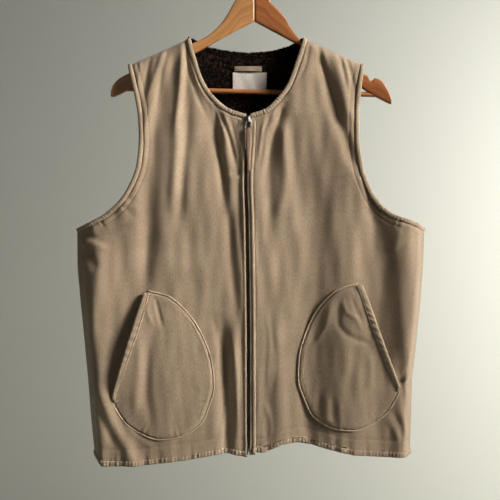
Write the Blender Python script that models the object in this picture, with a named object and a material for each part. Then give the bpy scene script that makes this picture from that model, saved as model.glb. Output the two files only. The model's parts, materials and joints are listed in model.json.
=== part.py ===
"""Deck vest on a wooden coat hanger: its construction, piece by piece, in metres with +Z up.

The origin is the place inside the top of the hanger's hook where a rail carries it.
X runs to the wearer's left, the front of the vest faces -Y, and the hanger's middle plane is y = 0.
Right and left are the wearer's. Sizes below are in millimetres and become metres in build_mesh.
"""
import math

import bmesh
import bpy
import numpy as np
from mathutils import Matrix, Vector

# Driving dimensions, in millimetres
MM = 0.001
GAP = 0.3
SHELL_WALL = 2.0
LINING_WALL = 4.0
LINING_CLEAR = 0.6
FOLD_ROOM = 4.5
SHOULDER_ROUND = 18.0
BINDING_WIDTH = 7.0
BINDING_GAP = 0.5
BINDING_HALF_THICKNESS = 2.4
HEM_BINDING_WIDTH = 8.0
HEM_BINDING_SWELL = (0.6, 0.9)
PUCKER_PITCH = 7.0
PUCKER_HEIGHT = 1.1
LINING_INSET = 3.0
LINING_FROM_ZIP = 12.0
LINING_ABOVE_HEM = 1.0
# Mesh columns of the pieces, across
FRONT_COLUMNS = 18
BACK_COLUMNS = 24
LINING_FRONT_COLUMNS = 8
LINING_BACK_COLUMNS = 20

# The body in level rows from hem to shoulder, as x and z of four edges:
# right side or armhole, right zip or neck edge, left zip or neck edge, left side or armhole
BODY_ROWS = np.array([
    # right_x, right_z, zip_right_x, zip_right_z, zip_left_x, zip_left_z, left_x, left_z
    (-257.0, -792.0, -8.5, -790.0, -2.5, -786.0, 244.0, -790.0),
    (-263.0, -736.0, -9.0, -732.0, -2.6, -732.0, 246.0, -736.0),
    (-268.0, -672.0, -9.2, -668.0, -2.8, -668.0, 247.5, -672.0),
    (-274.0, -609.0, -9.2, -605.0, -2.8, -605.0, 255.0, -609.0),
    (-280.5, -546.0, -9.6, -540.0, -3.2, -540.0, 261.5, -546.0),
    (-285.5, -490.0, -10.6, -478.0, -4.2, -478.0, 266.0, -490.0),
    (-286.0, -433.0, -11.6, -418.0, -5.2, -418.0, 268.0, -431.0),
    (-262.0, -423.0, -12.8, -385.0, -6.4, -385.0, 243.0, -422.0),
    (-236.0, -409.0, -14.0, -352.0, -7.6, -352.0, 213.0, -411.0),
    (-214.0, -389.0, -15.0, -320.0, -8.6, -320.0, 189.0, -389.0),
    (-198.0, -364.0, -15.8, -288.0, -9.4, -288.0, 175.0, -364.0),
    (-187.0, -333.0, -16.2, -255.0, -9.8, -254.5, 165.0, -333.0),
    (-183.5, -295.0, -42.0, -246.5, 13.5, -246.5, 160.5, -295.0),
    (-185.0, -262.0, -65.0, -228.0, 32.0, -229.0, 160.5, -262.0),
    (-190.0, -231.0, -83.0, -202.0, 48.5, -206.0, 162.5, -231.0),
    (-197.0, -202.0, -95.0, -168.0, 62.0, -170.0, 166.5, -202.0),
    (-204.5, -174.0, -105.0, -130.0, 75.0, -130.0, 172.0, -174.0),
])
UNDERARM_ROW = 6
NECK_ROW = 11
# Mesh rows, as places between the rows above: closer at the armhole's turn and over the shoulder
ROW_PLACES = np.array([0.0, 1.0, 2.0, 3.0, 4.0, 5.0, 6.0, 6.5, 7.0, 7.5, 8.0, 8.5, 9.0, 9.5, 10.0, 11.0, 12.0,
                       13.0, 14.0, 15.0, 15.45, 15.75, 15.92, 16.0])
LINING_PLACES = np.array([0.0, 2.0, 4.0, 6.0, 7.0, 8.0, 9.0, 10.0, 11.0, 12.0, 13.0, 14.0, 15.0, 15.45, 15.75,
                          15.92, 16.0])

# Depth of the front and the back from the middle plane at the centre of the body, and the power of
# the superellipse that rounds them to the sides: the body is a lens at the armholes, fuller elsewhere
DEPTHS = np.array([
    # z, front, back, power
    (-800.0, 42.0, 30.0, 3.0),
    (-644.0, 40.0, 29.0, 3.0),
    (-547.0, 38.0, 28.0, 2.8),
    (-470.0, 36.0, 27.5, 2.0),
    (-410.0, 34.5, 27.0, 1.9),
    (-330.0, 31.5, 24.0, 2.6),
    (-254.0, 30.0, 22.0, 3.0),
    (-200.0, 24.0, 20.0, 3.0),
    (-150.0, 18.0, 18.0, 3.0),
])

# Lower edge of the two fronts and of the back
FRONT_HEM = np.array([
    # x, z
    (-257.0, -792.0), (-240.0, -804.0), (-184.0, -803.0), (-110.0, -794.0), (-50.0, -784.0),
    (-8.5, -790.0), (-2.5, -786.0), (12.0, -786.0), (40.0, -773.0), (69.0, -769.0),
    (108.0, -779.0), (150.0, -787.0), (195.0, -790.0), (244.0, -790.0),
])
BACK_HEM = np.array([(-257.0, -792.0), (-130.0, -797.0), (0.0, -798.0), (120.0, -796.0), (244.0, -790.0)])
HEM_ROWS = 3.0
BACK_ROW_RISE = 45.0

# Upper edge of the back, from one shoulder tip to the other, with the fraction of the row it lies at
BACK_TOP = np.array([
    # fraction, x, z
    (0.000, -204.5, -174.0), (0.265, -105.0, -130.0), (0.330, -81.0, -142.0), (0.415, -48.0, -149.0),
    (0.520, -12.0, -152.0), (0.615, 26.0, -149.0), (0.690, 52.0, -142.0), (0.745, 75.0, -130.0),
    (1.000, 172.0, -174.0),
])
NECK_FRACTIONS = (0.265, 0.745)

# Distances over which folds fade out below the shoulder, beside the side seams and beside the zip
FADE_SHOULDER = 40.0
FADE_SIDE = 30.0
FADE_ZIP_START = 15.0
FADE_ZIP = 22.0

# Folds of the fronts: each runs down from z_top to z_bottom past three x places
FRONT_FOLDS = np.array([
    # z_top, z_bottom, x_top, x_middle, x_bottom, half_width, height
    (-150.0, -400.0, -116.0, -122.0, -132.0, 9.0, 3.5),
    (-160.0, -430.0, -106.0, -112.0, -122.0, 8.0, -3.0),
    (-158.0, -300.0, -143.0, -160.0, -178.0, 9.0, 3.5),
    (-175.0, -535.0, -147.0, -166.0, -175.0, 12.0, -4.0),
    (-240.0, -560.0, -76.0, -46.0, -28.0, 10.0, -4.0),
    (-262.0, -420.0, -52.0, -44.0, -42.0, 8.0, 2.5),
    (-575.0, -810.0, -54.0, -47.0, -44.0, 10.0, -4.5),
    (-575.0, -810.0, -31.0, -29.0, -27.0, 9.0, 3.5),
    (-680.0, -815.0, -243.0, -216.0, -182.0, 12.0, 4.0),
    (-460.0, -780.0, -252.0, -248.0, -244.0, 20.0, 4.0),
    (-150.0, -350.0, 97.0, 122.0, 158.0, 10.0, -4.0),
    (-160.0, -270.0, 129.0, 136.0, 149.0, 9.0, 3.5),
    (-232.0, -470.0, 42.0, 20.0, 8.0, 9.0, -3.5),
    (-262.0, -420.0, 36.0, 46.0, 34.0, 10.0, 3.0),
    (-357.0, -800.0, 96.0, 88.0, 84.0, 24.0, -4.5),
    (-575.0, -800.0, 30.0, 33.0, 36.0, 14.0, 3.5),
    (-390.0, -640.0, 228.0, 236.0, 230.0, 24.0, 5.0),
])

# Folds of the back, long soft ones from the shoulders and loose ones at the hem
BACK_FOLDS = np.array([
    # z_top, z_bottom, x_top, x_middle, x_bottom, half_width, height
    (-165.0, -560.0, -120.0, -132.0, -150.0, 14.0, 4.0),
    (-190.0, -480.0, -70.0, -78.0, -92.0, 16.0, -3.5),
    (-165.0, -600.0, 98.0, 112.0, 126.0, 14.0, 4.0),
    (-200.0, -500.0, 52.0, 60.0, 74.0, 15.0, -3.5),
    (-430.0, -800.0, -212.0, -206.0, -198.0, 20.0, 4.5),
    (-450.0, -800.0, 196.0, 190.0, 186.0, 20.0, 4.5),
    (-520.0, -810.0, -30.0, -24.0, -20.0, 18.0, 4.0),
    (-560.0, -810.0, 60.0, 66.0, 74.0, 16.0, -3.5),
])

# Patch pockets: the slanted mouth's middle, length and slant, then the round edge seen from the mouth
POCKETS = {
    # side: mouth middle x, mouth middle z, lean of the mouth's lower end outward in degrees, scale
    "right": (-200.0, -618.0, 17.2, 1.0),
    "left": (192.5, -600.5, 20.7, 0.985),
}
POCKET_EDGE = np.array([
    # along the mouth, away from the mouth
    (-88.0, 4.0), (-90.0, 34.0), (-76.0, 70.0), (-44.0, 108.0), (-8.0, 133.0), (34.0, 147.0),
    (70.0, 146.0), (98.0, 132.0), (116.0, 108.0), (125.0, 78.0), (119.0, 42.0), (104.0, 18.0), (90.0, 4.0),
])
POCKET_MOUTH_HALF = 87.0
POCKET_GAPE = 11.0
POCKET_SEAT = 1.6
POCKET_WALL = 1.8
POCKET_STEPS_ALONG = 16
POCKET_STEPS_ACROSS = 8
WELT_WIDTH = 11.0
WELT_WALL = 1.4
CORD_RADIUS = 1.3
CORD_FROM_EDGE = 2.2
CORD_HEIGHT = 2.6
CORD_STEPS = 30

# Zip
ZIP_TOP_Z = -264.0
TAPE_WALL = 0.8
TAPE_CLEAR = 0.9
TAPE_REACH = 8.0
CHAIN_SIDE_GAP = 0.4
CHAIN_SUNK = 0.4
CHAIN_WALL = 1.65
SLIDER_SIZE = (9.0, 2.5, 11.0)
SLIDER_STAND = 1.9
CROWN_WIRE = 0.8
CROWN_REACH = 4.6
CROWN_HALF = 3.4
PIVOT_IN_FRONT = 2.3
PIVOT_ABOVE_LEG = 1.13
# Pull tab, downwards from its pivot: half widths, window for the crown, slot for the strip
TAB = {"thickness": 1.4, "bar_half": 0.75, "top_half": 3.6, "rail": 1.5, "window_end": 7.2, "window_half": 4.5,
       "slot_start": 8.4, "slot_half": 3.8, "shoulder_half": 5.6, "end_bar": 1.6, "end": 13.6, "end_half": 6.2}
# Strip folded through the tab's slot: half widths and lengths below the tab, thickness of one layer
STRIP = {"half": 3.3, "layer": 0.9, "free_half_thickness": 1.25, "fold_end": 4.0, "taper_start": 22.0,
         "taper_half": 2.2, "taper_end": 51.5, "end": 66.0, "end_half": 1.6}

# Label and hanging loop inside the back neck
LABEL = {"x": -11.0, "z_top": -183.0, "width": 55.0, "height": 38.0, "wall": 0.8}
LOOP = {"x": -13.4, "z_top": -173.5, "width": 44.0, "height": 8.0, "wall": 1.2, "bulge": 2.6}

# Hanger: each arm's upper and lower edge, then bar and hook
ARM_RIGHT = np.array([
    # x, z_top, z_bottom
    (-3.6, -50.0, -103.5), (-20.0, -52.0, -112.0), (-36.0, -74.0, -120.5), (-48.0, -95.0, -127.0),
    (-62.0, -113.0, -134.5), (-81.0, -128.5, -145.0), (-105.0, -140.0, -158.0), (-150.0, -161.5, -181.0),
    (-204.0, -188.5, -208.5), (-220.0, -199.5, -216.5), (-230.0, -214.0, -221.5),
])
ARM_LEFT = np.array([
    # x, z_top, z_bottom
    (-3.0, -50.0, -103.5), (14.0, -55.0, -112.5), (23.0, -73.0, -117.5), (32.0, -82.0, -122.0),
    (45.0, -97.0, -129.0), (54.0, -112.5, -133.8), (66.0, -129.0, -140.0), (77.0, -141.5, -149.0),
    (96.0, -152.5, -160.0), (112.0, -160.0, -169.0),
    (170.0, -187.5, -205.0), (184.0, -192.0, -213.8), (190.0, -198.5, -217.6), (203.0, -207.0, -225.8),
    (213.0, -226.0, -232.2),
])
ARM_HALF_THICKNESS = 5.2
ARM_CHAMFER = 3.0
BAR = {"radius": 4.0, "x_right": -208.3, "z_right": -215.0, "x_left": 191.0, "z_left": -222.7}
HOOK = {"wire": 1.9, "bend": 21.0, "stem_z": -49.5}


def smooth_table(table, places):
    """Monotone cubic curve through a table's rows: each column, read at fractional row numbers."""
    steps = np.diff(table, axis=0)
    slopes = np.zeros_like(table)
    slopes[0] = steps[0]
    slopes[-1] = steps[-1]
    product = steps[:-1] * steps[1:]
    total = steps[:-1] + steps[1:]
    same_way = product > 0.0
    slopes[1:-1][same_way] = 2.0 * product[same_way] / total[same_way]
    row = np.clip(np.floor(places).astype(int), 0, len(table) - 2)
    f = (np.asarray(places) - row)[:, None]
    rise = f * f * (3.0 - 2.0 * f)
    start = f * (1.0 - f) ** 2
    end = f * f * (f - 1.0)
    return table[row] * (1.0 - rise) + table[row + 1] * rise + slopes[row] * start + slopes[row + 1] * end


def smooth_step(value):
    """0 below 0, 1 above 1 and a soft rise between."""
    value = np.clip(value, 0.0, 1.0)
    return value * value * (3.0 - 2.0 * value)


def unit(vectors):
    """Each vector divided by its length."""
    return vectors / np.linalg.norm(vectors, axis=-1, keepdims=True)


def body_width(z):
    """Centre and half width of the body's tube at a height, from its two side edges."""
    sides = BODY_ROWS[:UNDERARM_ROW + 1]
    right = np.interp(z, sides[:, 1], sides[:, 0])
    left = np.interp(z, sides[:, 7], sides[:, 6])
    return (right + left) / 2.0, (left - right) / 2.0


def zip_centre(z):
    """x of the zip's middle at a height."""
    rows = BODY_ROWS[:NECK_ROW + 1]
    return np.interp(z, rows[:, 3], (rows[:, 2] + rows[:, 4]) / 2.0)


def shoulder_height(x):
    """Height of the shoulder line above each x."""
    tip_right, neck_right = BODY_ROWS[-1, 0:2], BODY_ROWS[-1, 2:4]
    neck_left, tip_left = BODY_ROWS[-1, 4:6], BODY_ROWS[-1, 6:8]
    return np.interp(x, [tip_right[0], neck_right[0], neck_left[0], tip_left[0]],
                     [tip_right[1], neck_right[1], neck_left[1], tip_left[1]])


def fold_height(x, z, folds):
    """Sum of the folds: a bell across a bent path, soft at both ends of the path."""
    total = np.zeros_like(x)
    for z_top, z_bottom, x_top, x_middle, x_bottom, half_width, height in folds:
        down = (z_top - z) / (z_top - z_bottom)
        along = np.clip(down, 0.0, 1.0)
        path = (x_top * (1.0 - along) * (1.0 - 2.0 * along) + 4.0 * x_middle * along * (1.0 - along)
                + x_bottom * along * (2.0 * along - 1.0))
        ends = smooth_step(down / 0.2 + 0.3) * smooth_step((1.0 - down) / 0.2 + 0.3)
        total += height * ends * np.exp(-((x - path) / half_width) ** 2)
    return np.maximum(total, -FOLD_ROOM)


def fold_fade(x, z):
    """How far folds may rise: nothing at shoulder, side seam and zip, all of it farther in."""
    centre, half = body_width(z)
    below_shoulder = smooth_step((shoulder_height(x) - z) / FADE_SHOULDER)
    from_side = smooth_step((half - np.abs(x - centre)) / FADE_SIDE)
    from_zip = smooth_step((np.abs(x - zip_centre(z)) - FADE_ZIP_START) / FADE_ZIP)
    return below_shoulder * from_side, from_zip


def depth(x, z, face, folded=True):
    """Distance of a wall's outer face from the middle plane: superellipse across, round over the shoulder."""
    column = 1 if face == "front" else 2
    centre, half = body_width(z)
    across = np.clip(np.abs(x - centre) / half, 0.0, 1.0)
    power = np.interp(z, DEPTHS[:, 0], DEPTHS[:, 3])
    side = (1.0 - across ** power) ** (1.0 / power)
    below = np.clip((shoulder_height(x) - z) / SHOULDER_ROUND, 0.0, 1.0)
    top = np.sqrt(1.0 - (1.0 - below) ** 2)
    full = np.interp(z, DEPTHS[:, 0], DEPTHS[:, column]) * side * top
    if folded:
        fade, zip_fade = fold_fade(x, z)
        folds = FRONT_FOLDS if face == "front" else BACK_FOLDS
        if face == "front":
            fade = fade * zip_fade
        full = full + fade * fold_height(x, z, folds)
    return full + GAP / 2.0


def place(x, z, face, folded=True):
    """Points of a wall's outer face above given x and z."""
    sign = -1.0 if face == "front" else 1.0
    x = np.asarray(x, dtype=float)
    z = np.asarray(z, dtype=float)
    return np.stack([x, sign * depth(x, z, face, folded), z], axis=-1)


def edge_inward(points, first, last):
    """Unit directions into the cloth along an edge in x and z; first and last are given ones."""
    tangent = unit(np.gradient(points, axis=0))
    inward = np.stack([-tangent[:, 1], tangent[:, 0]], axis=-1)
    middle = (first + last) / 2.0
    if np.dot(inward[len(points) // 2], middle) < 0.0:
        inward = -inward
    inward[0] = first
    inward[-1] = last
    return inward


def body_edges(places):
    """The four edges of the body at every mesh row, and how each leads into its cloth."""
    rows = smooth_table(BODY_ROWS, places)
    underarm = int(np.argmin(np.abs(places - UNDERARM_ROW)))
    neck = int(np.argmin(np.abs(places - NECK_ROW)))
    down = np.array([0.0, -1.0])
    edges = {"places": places, "underarm": underarm, "neck": neck}
    columns = {"side_right": (0, 1), "zip_right": (2, 3), "zip_left": (4, 5), "side_left": (6, 7)}
    for name, (first, second) in columns.items():
        edges[name] = rows[:, [first, second]]
    for side in ("right", "left"):
        outer = edges["side_" + side]
        inner = edges["zip_" + side]
        along_shoulder = unit(inner[-1] - outer[-1])
        outer_in = np.zeros_like(outer)
        outer_in[underarm:] = edge_inward(outer[underarm:], down, along_shoulder)
        inner_in = np.zeros_like(inner)
        inner_in[neck:] = edge_inward(inner[neck:], down, -along_shoulder)
        edges["side_" + side + "_in"] = outer_in
        edges["zip_" + side + "_in"] = inner_in
    return edges


def hem_shift(x, z, row, hem):
    """Lower the rows near the hem onto its own curve."""
    share = np.clip(1.0 - row / HEM_ROWS, 0.0, 1.0) ** 2
    base = np.interp(x, [hem[0, 0], hem[-1, 0]], [hem[0, 1], hem[-1, 1]])
    return z + share * (np.interp(x, hem[:, 0], hem[:, 1]) - base)


def front_grid(side, columns, edges, trim=0.0, zip_inset=0.0, hem_trim=0.0):
    """x and z of one front, row by row from hem to shoulder, column by column from zip to side."""
    outer = edges["side_" + side] + edges["side_" + side + "_in"] * trim
    inner = edges["zip_" + side] + edges["zip_" + side + "_in"] * trim
    away = -1.0 if side == "right" else 1.0
    neck = edges["neck"]
    inner[:neck + 1, 0] += away * zip_inset
    crowding = 1.5 - 0.4 * smooth_step((edges["places"][:, None] - UNDERARM_ROW) / 1.0)
    across = 1.0 - (1.0 - np.linspace(0.0, 1.0, columns + 1)[None, :]) ** crowding
    x = inner[:, :1] * (1.0 - across) + outer[:, :1] * across
    z = inner[:, 1:] * (1.0 - across) + outer[:, 1:] * across
    rows = edges["places"][:, None] * np.ones_like(x)
    z = hem_shift(x, z, rows, FRONT_HEM)
    z[0] += hem_trim
    return x, z


def back_fractions(columns):
    """Column places of the back: closer together at the sides, one at each end of the neck."""
    right_end, left_end = NECK_FRACTIONS
    outer = columns // 4
    inner = columns - 2 * outer
    rise = np.linspace(0.0, 1.0, outer + 1) ** 1.4
    right = right_end * rise
    left = 1.0 - (1.0 - left_end) * rise[::-1]
    sweep = (1.0 - np.cos(np.linspace(0.0, math.pi, inner + 1))) / 2.0
    middle = right_end + (left_end - right_end) * sweep
    return np.concatenate([right, middle[1:-1], left]), outer, outer + inner


def back_grid(columns, edges, trim=0.0, hem_trim=0.0):
    """x and z of the back, row by row from hem to neck, column by column from right to left."""
    right = edges["side_right"] + edges["side_right_in"] * trim
    left = edges["side_left"] + edges["side_left_in"] * trim
    fractions, neck_start, neck_end = back_fractions(columns)
    x = right[:, None, 0] * (1.0 - fractions) + left[:, None, 0] * fractions
    z = right[:, None, 1] * (1.0 - fractions) + left[:, None, 1] * fractions
    above = (edges["places"] - UNDERARM_ROW + 1.0) / (len(BODY_ROWS) - UNDERARM_ROW)
    arch = BACK_ROW_RISE * np.sin(math.pi * np.clip(above, 0.0, 1.0))
    z = z + arch[:, None] * (1.0 - (2.0 * fractions - 1.0) ** 2)
    outline = np.stack([np.interp(fractions, BACK_TOP[:, 0], BACK_TOP[:, 1]),
                        np.interp(fractions, BACK_TOP[:, 0], BACK_TOP[:, 2])], axis=-1)
    outward_right = unit(outline[0] - outline[neck_start])
    outward_left = unit(outline[-1] - outline[neck_end])
    inward = np.zeros_like(outline)
    stretch = slice(neck_start, neck_end + 1)
    inward[stretch] = edge_inward(outline[stretch], outward_right, outward_left)
    inward[neck_start + 1:neck_end] = unit(inward[neck_start + 1:neck_end])
    top = outline + inward * trim
    top[0] = right[-1]
    top[-1] = left[-1]
    for column in range(1, neck_start):
        share = column / neck_start
        top[column] = top[0] * (1.0 - share) + top[neck_start] * share
    last = len(fractions) - 1
    for column in range(neck_end + 1, last):
        share = (column - neck_end) / (last - neck_end)
        top[column] = top[neck_end] * (1.0 - share) + top[last] * share
    rise = smooth_step((edges["places"] - UNDERARM_ROW) / (len(BODY_ROWS) - 1 - UNDERARM_ROW))[:, None]
    x = x + rise * (top[None, :, 0] - x[-1:])
    z = z + rise * (top[None, :, 1] - z[-1:])
    rows = edges["places"][:, None] * np.ones_like(x)
    z = hem_shift(x, z, rows, BACK_HEM)
    z[0] += hem_trim
    return x, z, outline, inward, neck_start, neck_end


def face_normals(x, z, face, folded=True, step=0.6):
    """Outward directions of a wall's outer face, from its slopes along x and z."""
    sign = -1.0 if face == "front" else 1.0
    slope_x = (depth(x + step, z, face, folded) - depth(x - step, z, face, folded)) / (2.0 * step)
    slope_z = (depth(x, z + step, face, folded) - depth(x, z - step, face, folded)) / (2.0 * step)
    return unit(np.stack([-slope_x, sign * np.ones_like(slope_x), -slope_z], axis=-1))


def grid_normals(points, face, folded, seam_columns, seam_rows):
    """Outward directions of a grid of points; those at a seam lie in the middle plane."""
    normals = face_normals(points[..., 0], points[..., 2], face, folded)
    for column, last_row in seam_columns:
        normals[:last_row + 1, column] = (1.0 if points[0, column, 0] > 0.0 else -1.0, 0.0, 0.0)
    for row, first, last in seam_rows:
        stretch = slice(first, last + 1)
        along = unit(np.gradient(points[row, stretch][:, [0, 2]], axis=0))
        up = np.stack([-along[:, 1], along[:, 0]], axis=-1)
        up = up * np.where(up[:, 1:] < 0.0, -1.0, 1.0)
        normals[row, stretch] = np.stack([up[:, 0], np.zeros(len(up)), up[:, 1]], axis=-1)
    return normals


def build_mesh(name, rings, material, collection, closed=False):
    """Loft through rings with an even number of points (in millimetres), with capped ends unless closed."""
    rings = np.asarray(rings, dtype=float)
    count, size = rings.shape[0], rings.shape[1]
    points = (rings.reshape(-1, 3) * MM).tolist()
    faces = []
    last = count if closed else count - 1
    for i in range(last):
        upper = ((i + 1) % count) * size
        for j in range(size):
            k = (j + 1) % size
            faces.append((i * size + j, i * size + k, upper + k, upper + j))
    if not closed:
        end = (count - 1) * size
        for j in range(size // 2 - 1):
            faces.append((j, size - 1 - j, size - 2 - j, j + 1))
            faces.append((end + j, end + j + 1, end + size - 2 - j, end + size - 1 - j))
    mesh = bpy.data.meshes.new(name)
    mesh.from_pydata(points, [], faces)
    body = bmesh.new()
    body.from_mesh(mesh)
    bmesh.ops.triangulate(body, faces=body.faces[:])
    bmesh.ops.recalc_face_normals(body, faces=body.faces[:])
    if body.calc_volume(signed=True) < 0.0:
        bmesh.ops.reverse_faces(body, faces=body.faces[:])
    body.to_mesh(mesh)
    body.free()
    mesh.shade_smooth()
    return add_object(name, mesh, material, collection)


def add_object(name, mesh, material, collection):
    """Put a mesh in the vest's collection under its own name and material."""
    mesh.materials.clear()
    mesh.materials.append(material)
    piece = bpy.data.objects.new(name, mesh)
    collection.objects.link(piece)
    return piece


def make_material(name, colour, roughness, metallic=0.0):
    """Principled material with one colour."""
    material = bpy.data.materials.new(name)
    material.use_nodes = True
    shader = material.node_tree.nodes["Principled BSDF"]
    shader.inputs["Base Color"].default_value = (*colour, 1.0)
    shader.inputs["Roughness"].default_value = roughness
    shader.inputs["Metallic"].default_value = metallic
    return material


def wall_rings(outer, inner):
    """Closed rings of a wall: along its outer face, then back along its inner face."""
    return np.concatenate([outer, inner[:, ::-1]], axis=1)


def wall_from_grid(points, normals, outside, inside):
    """Rings of a wall between two offsets along the normals."""
    return wall_rings(points + normals * outside, points + normals * inside)


def front_surface(side, edges, columns, trim, zip_inset, hem_trim, folded):
    """Points and normals of one front's outer face, or of the smooth face that its lining follows."""
    x, z = front_grid(side, columns, edges, trim, zip_inset, hem_trim)
    points = place(x, z, "front", folded)
    underarm = edges["underarm"]
    points[:underarm + 1, -1, 1] = -GAP / 2.0
    points[-1, :, 1] = -GAP / 2.0
    normals = grid_normals(points, "front", folded, [(-1, underarm)], [(-1, 0, columns)])
    return points, normals


def back_surface(edges, columns, trim, hem_trim, folded):
    """Points and normals of the back's outer face, with its neck outline."""
    x, z, outline, inward, start, end = back_grid(columns, edges, trim, hem_trim)
    points = place(x, z, "back", folded)
    underarm = edges["underarm"]
    for column in (0, -1):
        points[:underarm + 1, column, 1] = GAP / 2.0
    points[-1, :start + 1, 1] = GAP / 2.0
    points[-1, end:, 1] = GAP / 2.0
    normals = grid_normals(points, "back", folded, [(0, underarm), (-1, underarm)],
                           [(-1, 0, start), (-1, end, columns)])
    return points, normals, outline, inward, start, end


def lining_rings(points, normals):
    """The pile lining's wall, clear of the deepest fold of the cloth that it backs."""
    fade, _ = fold_fade(points[..., 0], points[..., 2])
    near = -(SHELL_WALL + LINING_CLEAR + FOLD_ROOM * fade)[..., None]
    return wall_rings(points + normals * near, points + normals * (near - LINING_WALL))


def bead_rings(edge_outer, edge_inner, width, half_thickness, bury, closed=False):
    """Six-sided bead along an edge, half a wall deep, between the edge line and a line inside it."""
    middle = (edge_outer + edge_inner) / 2.0
    across = unit(edge_inner - edge_outer)
    if closed:
        along = np.roll(middle, -1, axis=0) - np.roll(middle, 1, axis=0)
    else:
        along = np.gradient(middle, axis=0)
    normal = unit(np.cross(along, across))
    facing = middle[:, 1:2]
    flip = np.where(normal[:, 1:2] * facing < 0.0, -1.0, 1.0)
    level = np.abs(facing[:, 0]) < 1.0
    flip[level, 0] = np.where(normal[level, 2] + 0.2 * normal[level, 0] * middle[level, 0] < 0.0, -1.0, 1.0)
    normal = normal * flip
    centre = middle - normal * bury
    rings = []
    for angle in np.radians([0.0, 60.0, 120.0, 180.0, 240.0, 300.0]):
        rings.append(centre + across * (math.cos(angle) * width / 2.0)
                     + normal * (math.sin(angle) * half_thickness / math.sin(math.radians(60.0))))
    return np.stack(rings, axis=1)


def edge_line(edge, inward, offset, face):
    """Points on a face along an edge, moved into the cloth by an offset."""
    moved = edge + inward * offset
    return place(moved[:, 0], moved[:, 1], face)


def make_armhole_binding(side, edges, material, collection):
    """One rolled binding round an armhole: up the front, over the shoulder, down the back."""
    start = edges["underarm"]
    edge = edges["side_" + side][start:]
    inward = edges["side_" + side + "_in"][start:]
    lines = []
    for offset in (0.0, BINDING_WIDTH):
        front = edge_line(edge, inward, offset, "front")
        back = edge_line(edge, inward, offset, "back")
        joined = np.concatenate([front, back[::-1][1:-1]])
        for seam in (0, len(front) - 1):
            joined[seam, 1] = 0.0
        lines.append(joined)
    rings = bead_rings(lines[0], lines[1], BINDING_WIDTH, BINDING_HALF_THICKNESS, SHELL_WALL / 2.0, True)
    build_mesh("armhole_binding_" + side, rings, material, collection, closed=True)


def make_neck_binding(edges, outline, inward, start, end, material, collection):
    """One rolled binding round the neck, from the zip's right side over both shoulders to its left."""
    neck = edges["neck"]
    lines = []
    for offset in (0.0, BINDING_WIDTH):
        right = edge_line(edges["zip_right"][neck:], edges["zip_right_in"][neck:], offset, "front")
        left = edge_line(edges["zip_left"][neck:], edges["zip_left_in"][neck:], offset, "front")
        stretch = slice(start, end + 1)
        back = edge_line(outline[stretch], inward[stretch], offset, "back")
        back[[0, -1], 1] = 0.0
        lines.append(np.concatenate([right[:-1], back, left[::-1][1:]]))
    rings = bead_rings(lines[0], lines[1], BINDING_WIDTH, BINDING_HALF_THICKNESS, SHELL_WALL / 2.0)
    build_mesh("neck_binding", rings, material, collection)


def make_hem_binding(panels, material, collection):
    """One gathered strip along the whole hem, its puckers standing out from the walls above it."""
    corners = []
    order = (("front_right", slice(None)), ("back", slice(None)), ("front_left", slice(None, None, -1)))
    for name, direction in order:
        points, normals = panels[name]
        row = points[0][direction]
        normal = normals[0][direction]
        top = row - np.array([0.0, 0.0, GAP])
        bottom = row - np.array([0.0, 0.0, GAP + HEM_BINDING_WIDTH])
        upper, lower = HEM_BINDING_SWELL
        ring = np.stack([top + normal * upper, bottom + normal * lower,
                         bottom - normal * (SHELL_WALL + lower), top - normal * (SHELL_WALL + upper)], axis=1)
        corners.append((ring, normal))
    rings = np.concatenate([corners[0][0], corners[1][0][1:-1], corners[2][0]])
    normals = np.concatenate([corners[0][1], corners[1][1][1:-1], corners[2][1]])
    for seam in (len(corners[0][0]) - 1, len(corners[0][0]) + len(corners[1][0]) - 2):
        rings[seam, :, 1] = 0.0
    fine = []
    pucker = 0
    for i in range(len(rings) - 1):
        length = np.linalg.norm(rings[i + 1, 1] - rings[i, 1])
        count = max(1, round(length / (PUCKER_PITCH / 2.0)))
        for step in range(count):
            share = step / count
            ring = rings[i] * (1.0 - share) + rings[i + 1] * share
            normal = unit(normals[i] * (1.0 - share) + normals[i + 1] * share)
            bulge = PUCKER_HEIGHT if pucker % 2 else 0.0
            ring[:2] += normal * bulge
            fine.append(ring)
            pucker += 1
    fine.append(rings[-1])
    build_mesh("hem_binding", np.array(fine), material, collection)


def pocket_frame(side):
    """Mouth middle and the two directions of a pocket: down its mouth, and away from it."""
    x, z, lean, scale = POCKETS[side]
    outward = -1.0 if side == "right" else 1.0
    angle = math.radians(lean)
    down = np.array([outward * math.sin(angle), -math.cos(angle)])
    away = np.array([-outward * math.cos(angle), -math.sin(angle)])
    return np.array([x, z]), down, away, scale


def pocket_edge(side, share):
    """x and z along a pocket's round edge, from the top of the mouth to its lower end."""
    middle, down, away, scale = pocket_frame(side)
    flat = smooth_table(POCKET_EDGE, share * (len(POCKET_EDGE) - 1)) * scale
    return middle + flat[:, :1] * down + flat[:, 1:] * away


def pocket_point(side, share, across):
    """x, z and lift of the pocket's patch: share along the mouth, across from mouth 0 to round edge 1."""
    middle, down, away, scale = pocket_frame(side)
    along = (2.0 * share - 1.0) * POCKET_MOUTH_HALF * scale
    mouth = middle + along[:, None] * down
    edge = pocket_edge(side, share)
    flat = mouth * (1.0 - across) + edge * across
    lift = POCKET_GAPE * np.sin(math.pi * share) ** 0.8 * (1.0 - across) ** 1.6
    return flat, lift


def on_front(flat, lift):
    """Points standing off a front's folded face by a lift along its normal."""
    x, z = flat[:, 0], flat[:, 1]
    normal = face_normals(x, z, "front", step=2.0)
    return place(x, z, "front") + normal * np.reshape(lift, (-1, 1)), normal


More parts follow.
